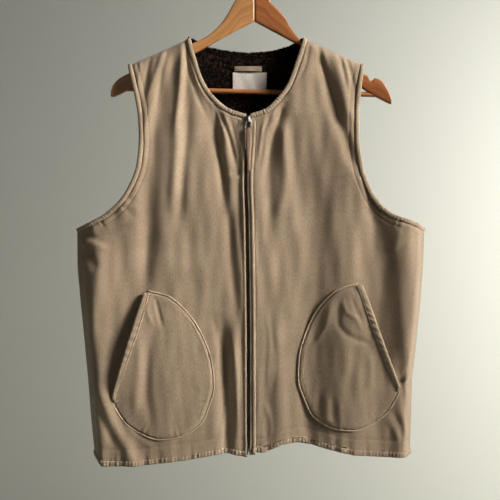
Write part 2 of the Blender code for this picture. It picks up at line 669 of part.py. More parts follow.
def make_pocket(side, materials, collection):
    """A round patch with a gaping slanted mouth, a stitched welt on its mouth and a cord round its edge."""
    shares = np.linspace(0.02, 0.98, POCKET_STEPS_ALONG + 1)
    acrosses = np.linspace(0.0, 1.0, POCKET_STEPS_ACROSS + 1)
    outer, inner = [], []
    for across in acrosses:
        flat, lift = pocket_point(side, shares, across)
        top, _ = on_front(flat, lift + POCKET_SEAT + POCKET_WALL)
        under, _ = on_front(flat, lift + POCKET_SEAT)
        outer.append(top)
        inner.append(under)
    rings = wall_rings(np.array(outer), np.array(inner))
    build_mesh("pocket_" + side, rings, materials["cloth"], collection)

    welt_outer, welt_inner = [], []
    top_base = np.array(outer)
    for width in (0.0, WELT_WIDTH / 2.0, WELT_WIDTH):
        reach = np.linalg.norm(top_base[-1] - top_base[0], axis=-1)
        steps = np.linalg.norm(np.diff(top_base, axis=0), axis=-1)
        line = []
        for column in range(1, len(shares) - 1):
            distances = np.concatenate([[0.0], np.cumsum(steps[:, column])])
            wanted = min(width, 0.8 * reach[column])
            line.append([np.interp(wanted, distances, top_base[:, column, axis]) for axis in range(3)])
        line = np.array(line)
        _, normal = on_front(line[:, [0, 2]], np.zeros(len(line)))
        welt_outer.append(line + normal * (GAP + WELT_WALL))
        welt_inner.append(line + normal * GAP)
    rings = wall_rings(np.array(welt_outer), np.array(welt_inner))
    build_mesh("pocket_welt_" + side, rings, materials["trim"], collection)

    shares = np.linspace(0.02, 0.98, CORD_STEPS + 1)
    edge = pocket_edge(side, shares)
    tangent = unit(np.gradient(edge, axis=0))
    _, down, away, _ = pocket_frame(side)
    outward = np.stack([-tangent[:, 1], tangent[:, 0]], axis=-1)
    if np.dot(outward[len(edge) // 2], away) < 0.0:
        outward = -outward
    centre, normal = on_front(edge + outward * CORD_FROM_EDGE, np.full(len(edge), CORD_HEIGHT))
    inner_edge, _ = on_front(edge, np.full(len(edge), CORD_HEIGHT))
    across = unit(centre - inner_edge)
    rings = []
    for angle in np.radians([0.0, 60.0, 120.0, 180.0, 240.0, 300.0]):
        rings.append(centre + CORD_RADIUS * (across * math.cos(angle) + normal * math.sin(angle)))
    build_mesh("pocket_cord_" + side, np.stack(rings, axis=1), materials["trim"], collection)


def make_zip(panels, edges, materials, collection):
    """Tapes behind both fronts and the chain of teeth between their edges."""
    neck = edges["neck"]
    right_points, right_normals = panels["front_right"]
    left_points, left_normals = panels["front_left"]

    def tape_line(points, normals, reach):
        first = points[:neck, 0] - normals[:neck, 0] * (SHELL_WALL + TAPE_CLEAR)
        second = points[:neck, 1] - normals[:neck, 1] * (SHELL_WALL + TAPE_CLEAR)
        share = reach / np.linalg.norm(second - first, axis=-1, keepdims=True)
        return first * (1.0 - share) + second * share

    front = [tape_line(right_points, right_normals, TAPE_REACH), tape_line(right_points, right_normals, 0.0),
             tape_line(left_points, left_normals, 0.0), tape_line(left_points, left_normals, TAPE_REACH)]
    front = np.stack(front, axis=1)
    behind = front + np.array([0.0, TAPE_WALL, 0.0])
    build_mesh("zip_tape", wall_rings(front, behind), materials["tape"], collection)

    right = right_points[:neck + 1, 0] + np.array([CHAIN_SIDE_GAP, CHAIN_SUNK, 0.0])
    left = left_points[:neck + 1, 0] + np.array([-CHAIN_SIDE_GAP, CHAIN_SUNK, 0.0])
    drop = np.array([0.0, CHAIN_WALL, 0.0])
    rings = np.stack([right, left, left + drop, right + drop], axis=1)
    build_mesh("zip_chain", rings, materials["metal"], collection)


def add_box(name, centre, size, bevel, material, collection):
    """A box with rounded edges; centre and size in millimetres."""
    mesh = bpy.data.meshes.new(name)
    body = bmesh.new()
    bmesh.ops.create_cube(body, size=1.0)
    bmesh.ops.scale(body, vec=Vector(size) * MM, verts=body.verts[:])
    if bevel > 0.0:
        bmesh.ops.bevel(body, geom=body.edges[:], offset=bevel * MM, segments=1, affect="EDGES")
    bmesh.ops.translate(body, vec=Vector(centre) * MM, verts=body.verts[:])
    body.to_mesh(mesh)
    body.free()
    return add_object(name, mesh, material, collection)


def combine(target, others, operation="UNION"):
    """Join or cut solids with exact Booleans and drop the helpers."""
    for other in others:
        modifier = target.modifiers.new("join", "BOOLEAN")
        modifier.operation = operation
        modifier.solver = "EXACT"
        modifier.object = other
        depsgraph = bpy.context.evaluated_depsgraph_get()
        mesh = bpy.data.meshes.new_from_object(target.evaluated_get(depsgraph))
        target.modifiers.clear()
        target.data = mesh
        bpy.data.objects.remove(other)


def flat_rings(pivot, levels):
    """Four-cornered rings of a flat piece hanging in front of the zip, from heights and half sizes."""
    rings = []
    for z, half_width, half_thickness in levels:
        rings.append([(pivot.x - half_width, pivot.y - half_thickness, z),
                      (pivot.x + half_width, pivot.y - half_thickness, z),
                      (pivot.x + half_width, pivot.y + half_thickness, z),
                      (pivot.x - half_width, pivot.y + half_thickness, z)])
    return rings


def make_slider_and_pull(materials, collection):
    """The zip's slider with its crown, and the pull tab and strip that swing on the crown."""
    x = float(zip_centre(ZIP_TOP_Z))
    face = float(place(np.array([x]), np.array([ZIP_TOP_Z]), "front")[0, 1]) - SLIDER_STAND
    thickness = SLIDER_SIZE[1]
    body_y = face - thickness / 2.0
    front = face - thickness
    slider = add_box("zip_slider", (x, body_y, ZIP_TOP_Z), SLIDER_SIZE, 0.7, materials["metal"], collection)
    wire = 2.0 * CROWN_WIRE
    legs = []
    for z in (ZIP_TOP_Z + CROWN_HALF, ZIP_TOP_Z - CROWN_HALF):
        leg = (x, front - CROWN_REACH / 2.0 + 0.4, z)
        legs.append(add_box("crown_leg", leg, (wire, CROWN_REACH + 0.8, wire), 0.0, materials["metal"], collection))
    bow = (x, front - CROWN_REACH - wire / 2.0 + 0.5, ZIP_TOP_Z)
    legs.append(add_box("crown_bow", bow, (wire + 0.01, wire, 2.0 * CROWN_HALF + wire), 0.0, materials["metal"], collection))
    combine(slider, legs)

    pivot_z = ZIP_TOP_Z - CROWN_HALF + CROWN_WIRE + PIVOT_ABOVE_LEG
    pivot = Vector((x, front - PIVOT_IN_FRONT, pivot_z))
    metal = materials["metal"]
    slab = TAB["thickness"] / 2.0
    window_low = pivot.z - TAB["window_end"]
    slot_top = pivot.z - TAB["slot_start"]
    bottom = pivot.z - TAB["end"]
    levels = [(pivot.z + TAB["bar_half"], TAB["top_half"], slab), (window_low, TAB["window_half"], slab),
              (slot_top, TAB["shoulder_half"], slab), (bottom, TAB["end_half"], slab)]
    tab = build_mesh("zip_pull_tab", flat_rings(pivot, levels), metal, collection)
    window_top = pivot.z - TAB["bar_half"]
    window = add_box("tab_window", (pivot.x, pivot.y, (window_top + window_low) / 2.0),
                     (2.0 * (TAB["top_half"] - TAB["rail"]), 3.0 * TAB["thickness"], window_top - window_low),
                     0.0, metal, collection)
    slot_low = bottom + TAB["end_bar"]
    slot = add_box("tab_slot", (pivot.x, pivot.y, (slot_top + slot_low) / 2.0),
                   (2.0 * TAB["slot_half"], 3.0 * TAB["thickness"], slot_top - slot_low), 0.0, metal, collection)
    combine(tab, [window, slot], "DIFFERENCE")

    half = STRIP["half"]
    folded = slab + GAP + STRIP["layer"]
    free = STRIP["free_half_thickness"]
    levels = [(slot_top - GAP - 0.1, half, folded), (bottom - STRIP["fold_end"], half, free),
              (bottom - STRIP["taper_start"], half, free), (bottom - STRIP["taper_end"], STRIP["taper_half"], free),
              (bottom - STRIP["end"], STRIP["end_half"], free)]
    strip = build_mesh("zip_pull_strip", flat_rings(pivot, levels), materials["leather"], collection)
    bar_room = add_box("strip_bar", (pivot.x, pivot.y, bottom + TAB["end_bar"] / 2.0),
                       (4.0 * TAB["end_half"], TAB["thickness"] + 2.0 * GAP, TAB["end_bar"] + 2.0 * GAP),
                       0.0, materials["leather"], collection)
    combine(strip, [bar_room], "DIFFERENCE")
    for piece in (tab, strip):
        origin = pivot * MM
        piece.data.transform(Matrix.Translation(-origin))
        piece.location = origin
    return pivot


def make_label_and_loop(materials, collection):
    """A blank label and a short hanging loop on the pile inside the back neck."""
    def strip(name, spec, bulge, columns, material):
        x = spec["x"] + np.linspace(-0.5, 0.5, columns + 1) * spec["width"]
        outer, inner = [], []
        for z in (spec["z_top"], spec["z_top"] - spec["height"]):
            heights = np.full_like(x, z)
            base = place(x, heights, "back", False)
            fade, _ = fold_fade(x, heights)
            face = base[:, 1] - SHELL_WALL - LINING_CLEAR - FOLD_ROOM * fade - LINING_WALL - GAP
            lift = bulge * np.sin(math.pi * np.linspace(0.0, 1.0, columns + 1))
            outer.append(np.stack([x, face - lift - spec["wall"], heights], axis=-1))
            inner.append(np.stack([x, face - lift, heights], axis=-1))
        build_mesh(name, wall_rings(np.array(outer), np.array(inner)), material, collection)

    strip("label", LABEL, 0.0, 6, materials["label"])
    strip("hanging_loop", LOOP, LOOP["bulge"], 10, materials["cloth"])


def make_hanger(materials, collection):
    """Two flat wooden arms, the dowel bar between them and a plain wire hook."""
    for name, rows, material in (("hanger_arm_right", ARM_RIGHT, "wood_light"),
                                 ("hanger_arm_left", ARM_LEFT, "wood_dark")):
        rings = []
        for x, top, bottom in rows:
            ring = []
            middle, half = (top + bottom) / 2.0, (top - bottom) / 2.0
            cut = min(ARM_CHAMFER, half * 0.5)
            side = ARM_HALF_THICKNESS
            for y, z in ((-side, half - cut), (-side + cut, half), (side - cut, half), (side, half - cut),
                         (side, cut - half), (side - cut, -half), (cut - side, -half), (-side, cut - half)):
                ring.append((x, y, middle + z))
            rings.append(ring)
        build_mesh(name, rings, materials[material], collection)

    bar = bpy.data.curves.new("hanger_bar", "CURVE")
    start = np.array([BAR["x_right"], 0.0, BAR["z_right"]])
    end = np.array([BAR["x_left"], 0.0, BAR["z_left"]])
    add_wire("hanger_bar", bar, [start, end], BAR["radius"], 3, materials["wood_light"], collection)

    bend = HOOK["bend"]
    wire = HOOK["wire"]
    centre_z = wire - bend - wire
    points = [np.array([0.0, 0.0, HOOK["stem_z"]]), np.array([0.0, 0.0, centre_z - bend - wire])]
    for angle in np.radians(np.arange(-60.0, 211.0, 15.0)):
        radius = bend + wire
        points.append(np.array([radius * math.cos(angle), 0.0, centre_z + radius * math.sin(angle)]))
    hook = bpy.data.curves.new("hanger_hook", "CURVE")
    add_wire("hanger_hook", hook, points, wire, 2, materials["metal"], collection)


def add_wire(name, curve, points, radius, resolution, material, collection):
    """A round wire or rod with filled ends through given points."""
    curve.dimensions = "3D"
    curve.bevel_depth = radius * MM
    curve.bevel_resolution = resolution
    curve.use_fill_caps = True
    spline = curve.splines.new("POLY")
    spline.points.add(len(points) - 1)
    for point, place_mm in zip(spline.points, points):
        point.co = (*(place_mm * MM), 1.0)
    curve.materials.append(material)
    piece = bpy.data.objects.new(name, curve)
    collection.objects.link(piece)
    return piece


def make_materials():
    """Colours read from the photographed cloth, pile, wood and metal."""
    return {
        "cloth": make_material("khaki_deck_cloth", (0.33, 0.25, 0.14), 0.9),
        "trim": make_material("khaki_binding", (0.36, 0.27, 0.15), 0.85),
        "pile": make_material("brown_pile_lining", (0.035, 0.027, 0.02), 0.95),
        "tape": make_material("brown_zip_tape", (0.10, 0.075, 0.05), 0.9),
        "metal": make_material("nickel_silver", (0.60, 0.60, 0.58), 0.3, 1.0),
        "leather": make_material("tan_pull_leather", (0.42, 0.30, 0.22), 0.7),
        "label": make_material("blank_label", (0.75, 0.73, 0.68), 0.8),
        "wood_light": make_material("light_hanger_wood", (0.33, 0.19, 0.09), 0.45),
        "wood_dark": make_material("dark_hanger_wood", (0.27, 0.13, 0.05), 0.45),
    }


def main():
    for piece in list(bpy.data.objects):
        bpy.data.objects.remove(piece)
    collection = bpy.data.collections.new("deck_vest")
    bpy.context.scene.collection.children.link(collection)
    materials = make_materials()
    edges = body_edges(ROW_PLACES)
    trim = BINDING_WIDTH + BINDING_GAP
    hem_trim = HEM_BINDING_WIDTH + GAP

    panels = {}
    for side in ("right", "left"):
        name = "front_" + side
        points, normals = front_surface(side, edges, FRONT_COLUMNS, trim, 0.0, hem_trim, True)
        panels[name] = (points, normals)
        build_mesh(name, wall_from_grid(points, normals, 0.0, -SHELL_WALL), materials["cloth"], collection)
    points, normals, outline, inward, start, end = back_surface(edges, BACK_COLUMNS, trim, hem_trim, True)
    panels["back"] = (points, normals)
    build_mesh("back", wall_from_grid(points, normals, 0.0, -SHELL_WALL), materials["cloth"], collection)

    for side in ("right", "left"):
        make_armhole_binding(side, edges, materials["trim"], collection)
    make_neck_binding(edges, outline, inward, start, end, materials["trim"], collection)
    make_hem_binding(panels, materials["trim"], collection)

    lining_edges = body_edges(LINING_PLACES)
    lining_trim = trim + LINING_INSET
    lining_hem = hem_trim + LINING_ABOVE_HEM
    for side in ("right", "left"):
        points, normals = front_surface(side, lining_edges, LINING_FRONT_COLUMNS, lining_trim, LINING_FROM_ZIP,
                                        lining_hem, False)
        build_mesh("lining_front_" + side, lining_rings(points, normals), materials["pile"], collection)
    points, normals, _, _, _, _ = back_surface(lining_edges, LINING_BACK_COLUMNS, lining_trim, lining_hem, False)
    build_mesh("lining_back", lining_rings(points, normals), materials["pile"], collection)

    for side in ("right", "left"):
        make_pocket(side, materials, collection)
    make_zip(panels, edges, materials, collection)
    make_slider_and_pull(materials, collection)
    make_label_and_loop(materials, collection)
    make_hanger(materials, collection)


main()
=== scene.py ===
# %% [markdown]
# # A pile-lined deck vest on a wooden coat hanger
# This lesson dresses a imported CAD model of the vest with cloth, thread, pile, metal and wood.
# The model is a fixed frame: its solids give every place and size, and each cloth solid is replaced by a
# finer shell on the same form. All new shapes are worked out with numpy from a few tables in millimetres.

# %% Load the frame
import json
import math

import bpy
import numpy as np
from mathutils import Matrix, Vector

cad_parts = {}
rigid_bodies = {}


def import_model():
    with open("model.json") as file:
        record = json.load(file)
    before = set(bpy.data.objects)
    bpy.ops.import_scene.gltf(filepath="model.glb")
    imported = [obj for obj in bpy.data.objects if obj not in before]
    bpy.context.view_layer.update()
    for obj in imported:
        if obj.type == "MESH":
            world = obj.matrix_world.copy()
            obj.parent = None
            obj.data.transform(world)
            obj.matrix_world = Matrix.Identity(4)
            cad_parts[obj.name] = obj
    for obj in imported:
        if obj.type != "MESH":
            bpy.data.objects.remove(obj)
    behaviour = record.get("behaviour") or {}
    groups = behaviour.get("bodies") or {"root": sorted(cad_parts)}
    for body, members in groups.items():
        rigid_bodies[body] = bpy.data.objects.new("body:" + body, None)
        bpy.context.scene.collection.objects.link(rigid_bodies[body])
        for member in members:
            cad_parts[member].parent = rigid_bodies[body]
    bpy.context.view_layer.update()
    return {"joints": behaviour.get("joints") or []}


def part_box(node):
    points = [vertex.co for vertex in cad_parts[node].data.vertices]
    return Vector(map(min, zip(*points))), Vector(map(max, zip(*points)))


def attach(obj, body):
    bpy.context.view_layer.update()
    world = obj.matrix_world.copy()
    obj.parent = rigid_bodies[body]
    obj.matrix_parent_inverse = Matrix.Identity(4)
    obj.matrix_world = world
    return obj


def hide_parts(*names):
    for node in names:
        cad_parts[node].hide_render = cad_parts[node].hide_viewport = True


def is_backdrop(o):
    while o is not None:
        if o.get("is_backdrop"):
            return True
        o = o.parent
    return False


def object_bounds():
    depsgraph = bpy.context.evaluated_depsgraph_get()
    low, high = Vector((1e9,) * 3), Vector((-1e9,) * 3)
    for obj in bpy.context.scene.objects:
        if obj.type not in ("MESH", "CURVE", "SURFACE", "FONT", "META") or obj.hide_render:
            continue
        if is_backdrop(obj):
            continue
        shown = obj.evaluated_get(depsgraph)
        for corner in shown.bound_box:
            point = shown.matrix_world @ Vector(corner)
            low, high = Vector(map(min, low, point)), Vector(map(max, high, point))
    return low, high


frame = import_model()

# %% [markdown]
# ## The form of the body
# A hanging vest is a flat tube of cloth. Its front and back are height fields: one depth for each x and z.
# The four edges of the body are rows of points from hem to shoulder, joined by smooth curves, and the depth is
# a superellipse across the tube with a quarter round over the shoulder seam. The tables repeat the CAD's.

# %% Sizes and edges, in millimetres
MM = 0.001
SEAM_GAP, SHELL_WALL, LINING_CLEAR = 0.3, 2.0, 0.6
FOLD_ROOM, SHOULDER_ROUND = 4.5, 18.0
BINDING_WIDTH, BINDING_TUCK, HEM_WIDTH = 7.0, 2.0, 8.0
# Sign of y on each face, and of x towards each side seam
OUTWARD = {"front": -1.0, "back": 1.0}
TO_SIDE = {"right": -1.0, "left": 1.0}
BODY_ROWS = np.array([
    # right_x, right_z, zip_right_x, zip_right_z, zip_left_x, zip_left_z, left_x, left_z
    (-257.0, -792.0, -8.5, -790.0, -2.5, -786.0, 244.0, -790.0),
    (-263.0, -736.0, -9.0, -732.0, -2.6, -732.0, 246.0, -736.0),
    (-268.0, -672.0, -9.2, -668.0, -2.8, -668.0, 247.5, -672.0),
    (-274.0, -609.0, -9.2, -605.0, -2.8, -605.0, 255.0, -609.0),
    (-280.5, -546.0, -9.6, -540.0, -3.2, -540.0, 261.5, -546.0),
    (-285.5, -490.0, -10.6, -478.0, -4.2, -478.0, 266.0, -490.0),
    (-286.0, -433.0, -11.6, -418.0, -5.2, -418.0, 268.0, -431.0),
    (-262.0, -423.0, -12.8, -385.0, -6.4, -385.0, 243.0, -422.0),
    (-236.0, -409.0, -14.0, -352.0, -7.6, -352.0, 213.0, -411.0),
    (-214.0, -389.0, -15.0, -320.0, -8.6, -320.0, 189.0, -389.0),
    (-198.0, -364.0, -15.8, -288.0, -9.4, -288.0, 175.0, -364.0),
    (-187.0, -333.0, -16.2, -255.0, -9.8, -254.5, 165.0, -333.0),
    (-183.5, -295.0, -42.0, -246.5, 13.5, -246.5, 160.5, -295.0),
    (-185.0, -262.0, -65.0, -228.0, 32.0, -229.0, 160.5, -262.0),
    (-190.0, -231.0, -83.0, -202.0, 48.5, -206.0, 162.5, -231.0),
    (-197.0, -202.0, -95.0, -168.0, 62.0, -170.0, 166.5, -202.0),
    (-204.5, -174.0, -105.0, -130.0, 75.0, -130.0, 172.0, -174.0),
])
UNDERARM_ROW, NECK_ROW, SHOULDER_ROW = 6, 11, 16
DEPTHS = np.array([
    # z, front, back, power of the superellipse
    (-800.0, 42.0, 30.0, 3.0), (-644.0, 40.0, 29.0, 3.0), (-547.0, 38.0, 28.0, 2.8),
    (-470.0, 36.0, 27.5, 2.0), (-410.0, 34.5, 27.0, 1.9), (-330.0, 31.5, 24.0, 2.6),
    (-254.0, 30.0, 22.0, 3.0), (-200.0, 24.0, 20.0, 3.0), (-150.0, 18.0, 18.0, 3.0),
])
FRONT_HEM = np.array([
    (-257.0, -792.0), (-240.0, -804.0), (-184.0, -803.0), (-110.0, -794.0), (-50.0, -784.0),
    (-8.5, -790.0), (-2.5, -786.0), (12.0, -786.0), (40.0, -773.0), (69.0, -769.0),
    (108.0, -779.0), (150.0, -787.0), (195.0, -790.0), (244.0, -790.0),
])
BACK_HEM = np.array([(-257.0, -792.0), (-130.0, -797.0), (-20.0, -793.0), (30.0, -783.0), (69.0, -779.0),
                     (112.0, -786.0), (160.0, -791.0), (244.0, -790.0)])
HEMS = {"front": FRONT_HEM, "back": BACK_HEM}
HEM_ROWS = 3.0
BACK_ROW_RISE = 45.0
BACK_TOP = np.array([
    # fraction of the row, x, z
    (0.000, -204.5, -174.0), (0.265, -105.0, -130.0), (0.330, -81.0, -142.0), (0.415, -48.0, -149.0),
    (0.520, -12.0, -152.0), (0.615, 26.0, -149.0), (0.690, 52.0, -142.0), (0.745, 75.0, -130.0),
    (1.000, 172.0, -174.0),
])
NECK_FRACTIONS = (0.265, 0.745)
print("body:", len(BODY_ROWS), "rows,", round(BODY_ROWS[:, 6].max() - BODY_ROWS[:, 0].min()), "mm wide")

# %% Main folds, from the photograph in front and from how cloth hangs at the back
FADE_SHOULDER, FADE_SIDE, FADE_ZIP_START, FADE_ZIP = 40.0, 30.0, 15.0, 22.0
FRONT_FOLDS = np.array([
    # z_top, z_bottom, x_top, x_middle, x_bottom, half_width, height
    (-150.0, -400.0, -116.0, -122.0, -132.0, 9.0, 3.5),
    (-160.0, -430.0, -106.0, -112.0, -122.0, 8.0, -3.0),
    (-158.0, -300.0, -143.0, -160.0, -178.0, 9.0, 3.5),
    (-175.0, -535.0, -147.0, -166.0, -175.0, 12.0, -4.0),
    (-240.0, -560.0, -76.0, -46.0, -28.0, 10.0, -4.0),
    (-262.0, -420.0, -52.0, -44.0, -42.0, 8.0, 2.5),
    (-575.0, -810.0, -54.0, -47.0, -44.0, 10.0, -4.5),
    (-575.0, -810.0, -31.0, -29.0, -27.0, 9.0, 3.5),
    (-680.0, -815.0, -243.0, -216.0, -182.0, 12.0, 4.0),
    (-460.0, -780.0, -252.0, -248.0, -244.0, 20.0, 4.0),
    (-150.0, -350.0, 97.0, 122.0, 158.0, 10.0, -4.0),
    (-160.0, -270.0, 129.0, 136.0, 149.0, 9.0, 3.5),
    (-232.0, -470.0, 42.0, 20.0, 8.0, 9.0, -3.5),
    (-262.0, -420.0, 36.0, 46.0, 34.0, 10.0, 3.0),
    (-357.0, -800.0, 96.0, 88.0, 84.0, 24.0, -4.5),
    (-575.0, -800.0, 30.0, 33.0, 36.0, 14.0, 3.5),
    (-390.0, -640.0, 228.0, 236.0, 230.0, 24.0, 5.0),
])
BACK_FOLDS = np.array([
    (-165.0, -560.0, -120.0, -132.0, -150.0, 14.0, 4.0),
    (-190.0, -480.0, -70.0, -78.0, -92.0, 16.0, -3.5),
    (-165.0, -600.0, 98.0, 112.0, 126.0, 14.0, 4.0),
    (-200.0, -500.0, 52.0, 60.0, 74.0, 15.0, -3.5),
    (-430.0, -800.0, -212.0, -206.0, -198.0, 20.0, 4.5),
    (-450.0, -800.0, 196.0, 190.0, 186.0, 20.0, 4.5),
    (-520.0, -810.0, -30.0, -24.0, -20.0, 18.0, 4.0),
    (-560.0, -810.0, 60.0, 66.0, 74.0, 16.0, -3.5),
])
FOLDS = {"front": FRONT_FOLDS, "back": BACK_FOLDS}


def smooth_step(value):
    """0 below 0, 1 above 1, and 3v^2 - 2v^3 between."""
    value = np.clip(value, 0.0, 1.0)
    return value * value * (3.0 - 2.0 * value)


def smooth_table(table, places):
    """Monotone cubic through a table's rows: each column is read at fractional row numbers."""
    steps = np.diff(table, axis=0)
    slopes = np.zeros_like(table)
    slopes[0], slopes[-1] = steps[0], steps[-1]
    product, total = steps[:-1] * steps[1:], steps[:-1] + steps[1:]
    same_way = product > 0.0
    slopes[1:-1][same_way] = 2.0 * product[same_way] / total[same_way]
    row = np.clip(np.floor(places).astype(int), 0, len(table) - 2)
    f = (np.asarray(places) - row)[:, None]
    rise, start, end = f * f * (3.0 - 2.0 * f), f * (1.0 - f) ** 2, f * f * (f - 1.0)
    return table[row] * (1.0 - rise) + table[row + 1] * rise + slopes[row] * start + slopes[row + 1] * end


def unit(vectors):
    """Each vector divided by its length."""
    return vectors / np.maximum(np.linalg.norm(vectors, axis=-1, keepdims=True), 1e-9)


def bell(distance, width):
    """exp(-(distance / width)^2): 1 at no distance, near 0 beyond twice the width."""
    return np.exp(-(distance / width) ** 2)


def body_width(z):
    """Centre and half width of the tube at a height, from its two side edges."""
    sides = BODY_ROWS[:UNDERARM_ROW + 1]
    right, left = (np.interp(z, sides[:, c + 1], sides[:, c]) for c in (0, 6))
    return (right + left) / 2.0, (left - right) / 2.0


def zip_edge(z, side):
    """x of a front's edge along the zip at a height; side None gives the zip's middle."""
    rows = BODY_ROWS[:NECK_ROW + 1]
    edge = {"right": rows[:, 2], "left": rows[:, 4], None: (rows[:, 2] + rows[:, 4]) / 2.0}[side]
    return np.interp(z, rows[:, 3], edge)


def shoulder_height(x):
    """Height of the shoulder line above each x."""
    tip_right, neck_right, neck_left, tip_left = BODY_ROWS[-1].reshape(4, 2)
    line = np.array([tip_right, neck_right, neck_left, tip_left])
    return np.interp(x, line[:, 0], line[:, 1])


def bent_bells(x, z, table, fading):
    """Sum of bells across bent paths that run down the cloth, each faded along its path."""
    total = np.zeros(np.shape(x))
    for z_top, z_bottom, x_top, x_middle, x_bottom, half_width, height in table:
        down = (z_top - z) / (z_top - z_bottom)
        along = np.clip(down, 0.0, 1.0)
        path = (x_top * (1.0 - along) * (1.0 - 2.0 * along) + 4.0 * x_middle * along * (1.0 - along)
                + x_bottom * along * (2.0 * along - 1.0))
        total += height * fading(down) * bell(x - path, half_width)
    return total


def fold_fade(x, z):
    """Room for folds: nothing at the shoulder and side seams and beside the zip, all of it farther in."""
    centre, half = body_width(z)
    below_shoulder = smooth_step((shoulder_height(x) - z) / FADE_SHOULDER)
    from_side = smooth_step((half - np.abs(x - centre)) / FADE_SIDE)
    from_zip = smooth_step((np.abs(x - zip_edge(z, None)) - FADE_ZIP_START) / FADE_ZIP)
    return below_shoulder * from_side, from_zip


def fold_height(x, z, face):
    """The main folds of a face: soft at both ends, no deeper than FOLD_ROOM, and none beside its seams."""
    fade, zip_fade = fold_fade(x, z)
    total = bent_bells(x, z, FOLDS[face],
                       lambda down: smooth_step(down / 0.2 + 0.3) * smooth_step((1.0 - down) / 0.2 + 0.3))
    return fade * (zip_fade if face == "front" else 1.0) * np.maximum(total, -FOLD_ROOM)


def bare_depth(x, z, face):
    """Distance of the solid's unfolded face from the middle plane: (1 - across^p)^(1/p) times a quarter round."""
    centre, half = body_width(z)
    across = np.clip(np.abs(x - centre) / half, 0.0, 1.0)
    power = np.interp(z, DEPTHS[:, 0], DEPTHS[:, 3])
    side = (1.0 - across ** power) ** (1.0 / power)
    below = np.clip((shoulder_height(x) - z) / SHOULDER_ROUND, 0.0, 1.0)
    top = np.sqrt(1.0 - (1.0 - below) ** 2)
    return np.interp(z, DEPTHS[:, 0], DEPTHS[:, 1 if face == "front" else 2]) * side * top + SEAM_GAP / 2.0


def form_depth(x, z, face):
    """The solid's outer face with its main folds."""
    return bare_depth(x, z, face) + fold_height(x, z, face)


print("front at mid chest:", round(float(form_depth(np.array([-60.0]), np.array([-430.0]), "front")[0]), 1), "mm")
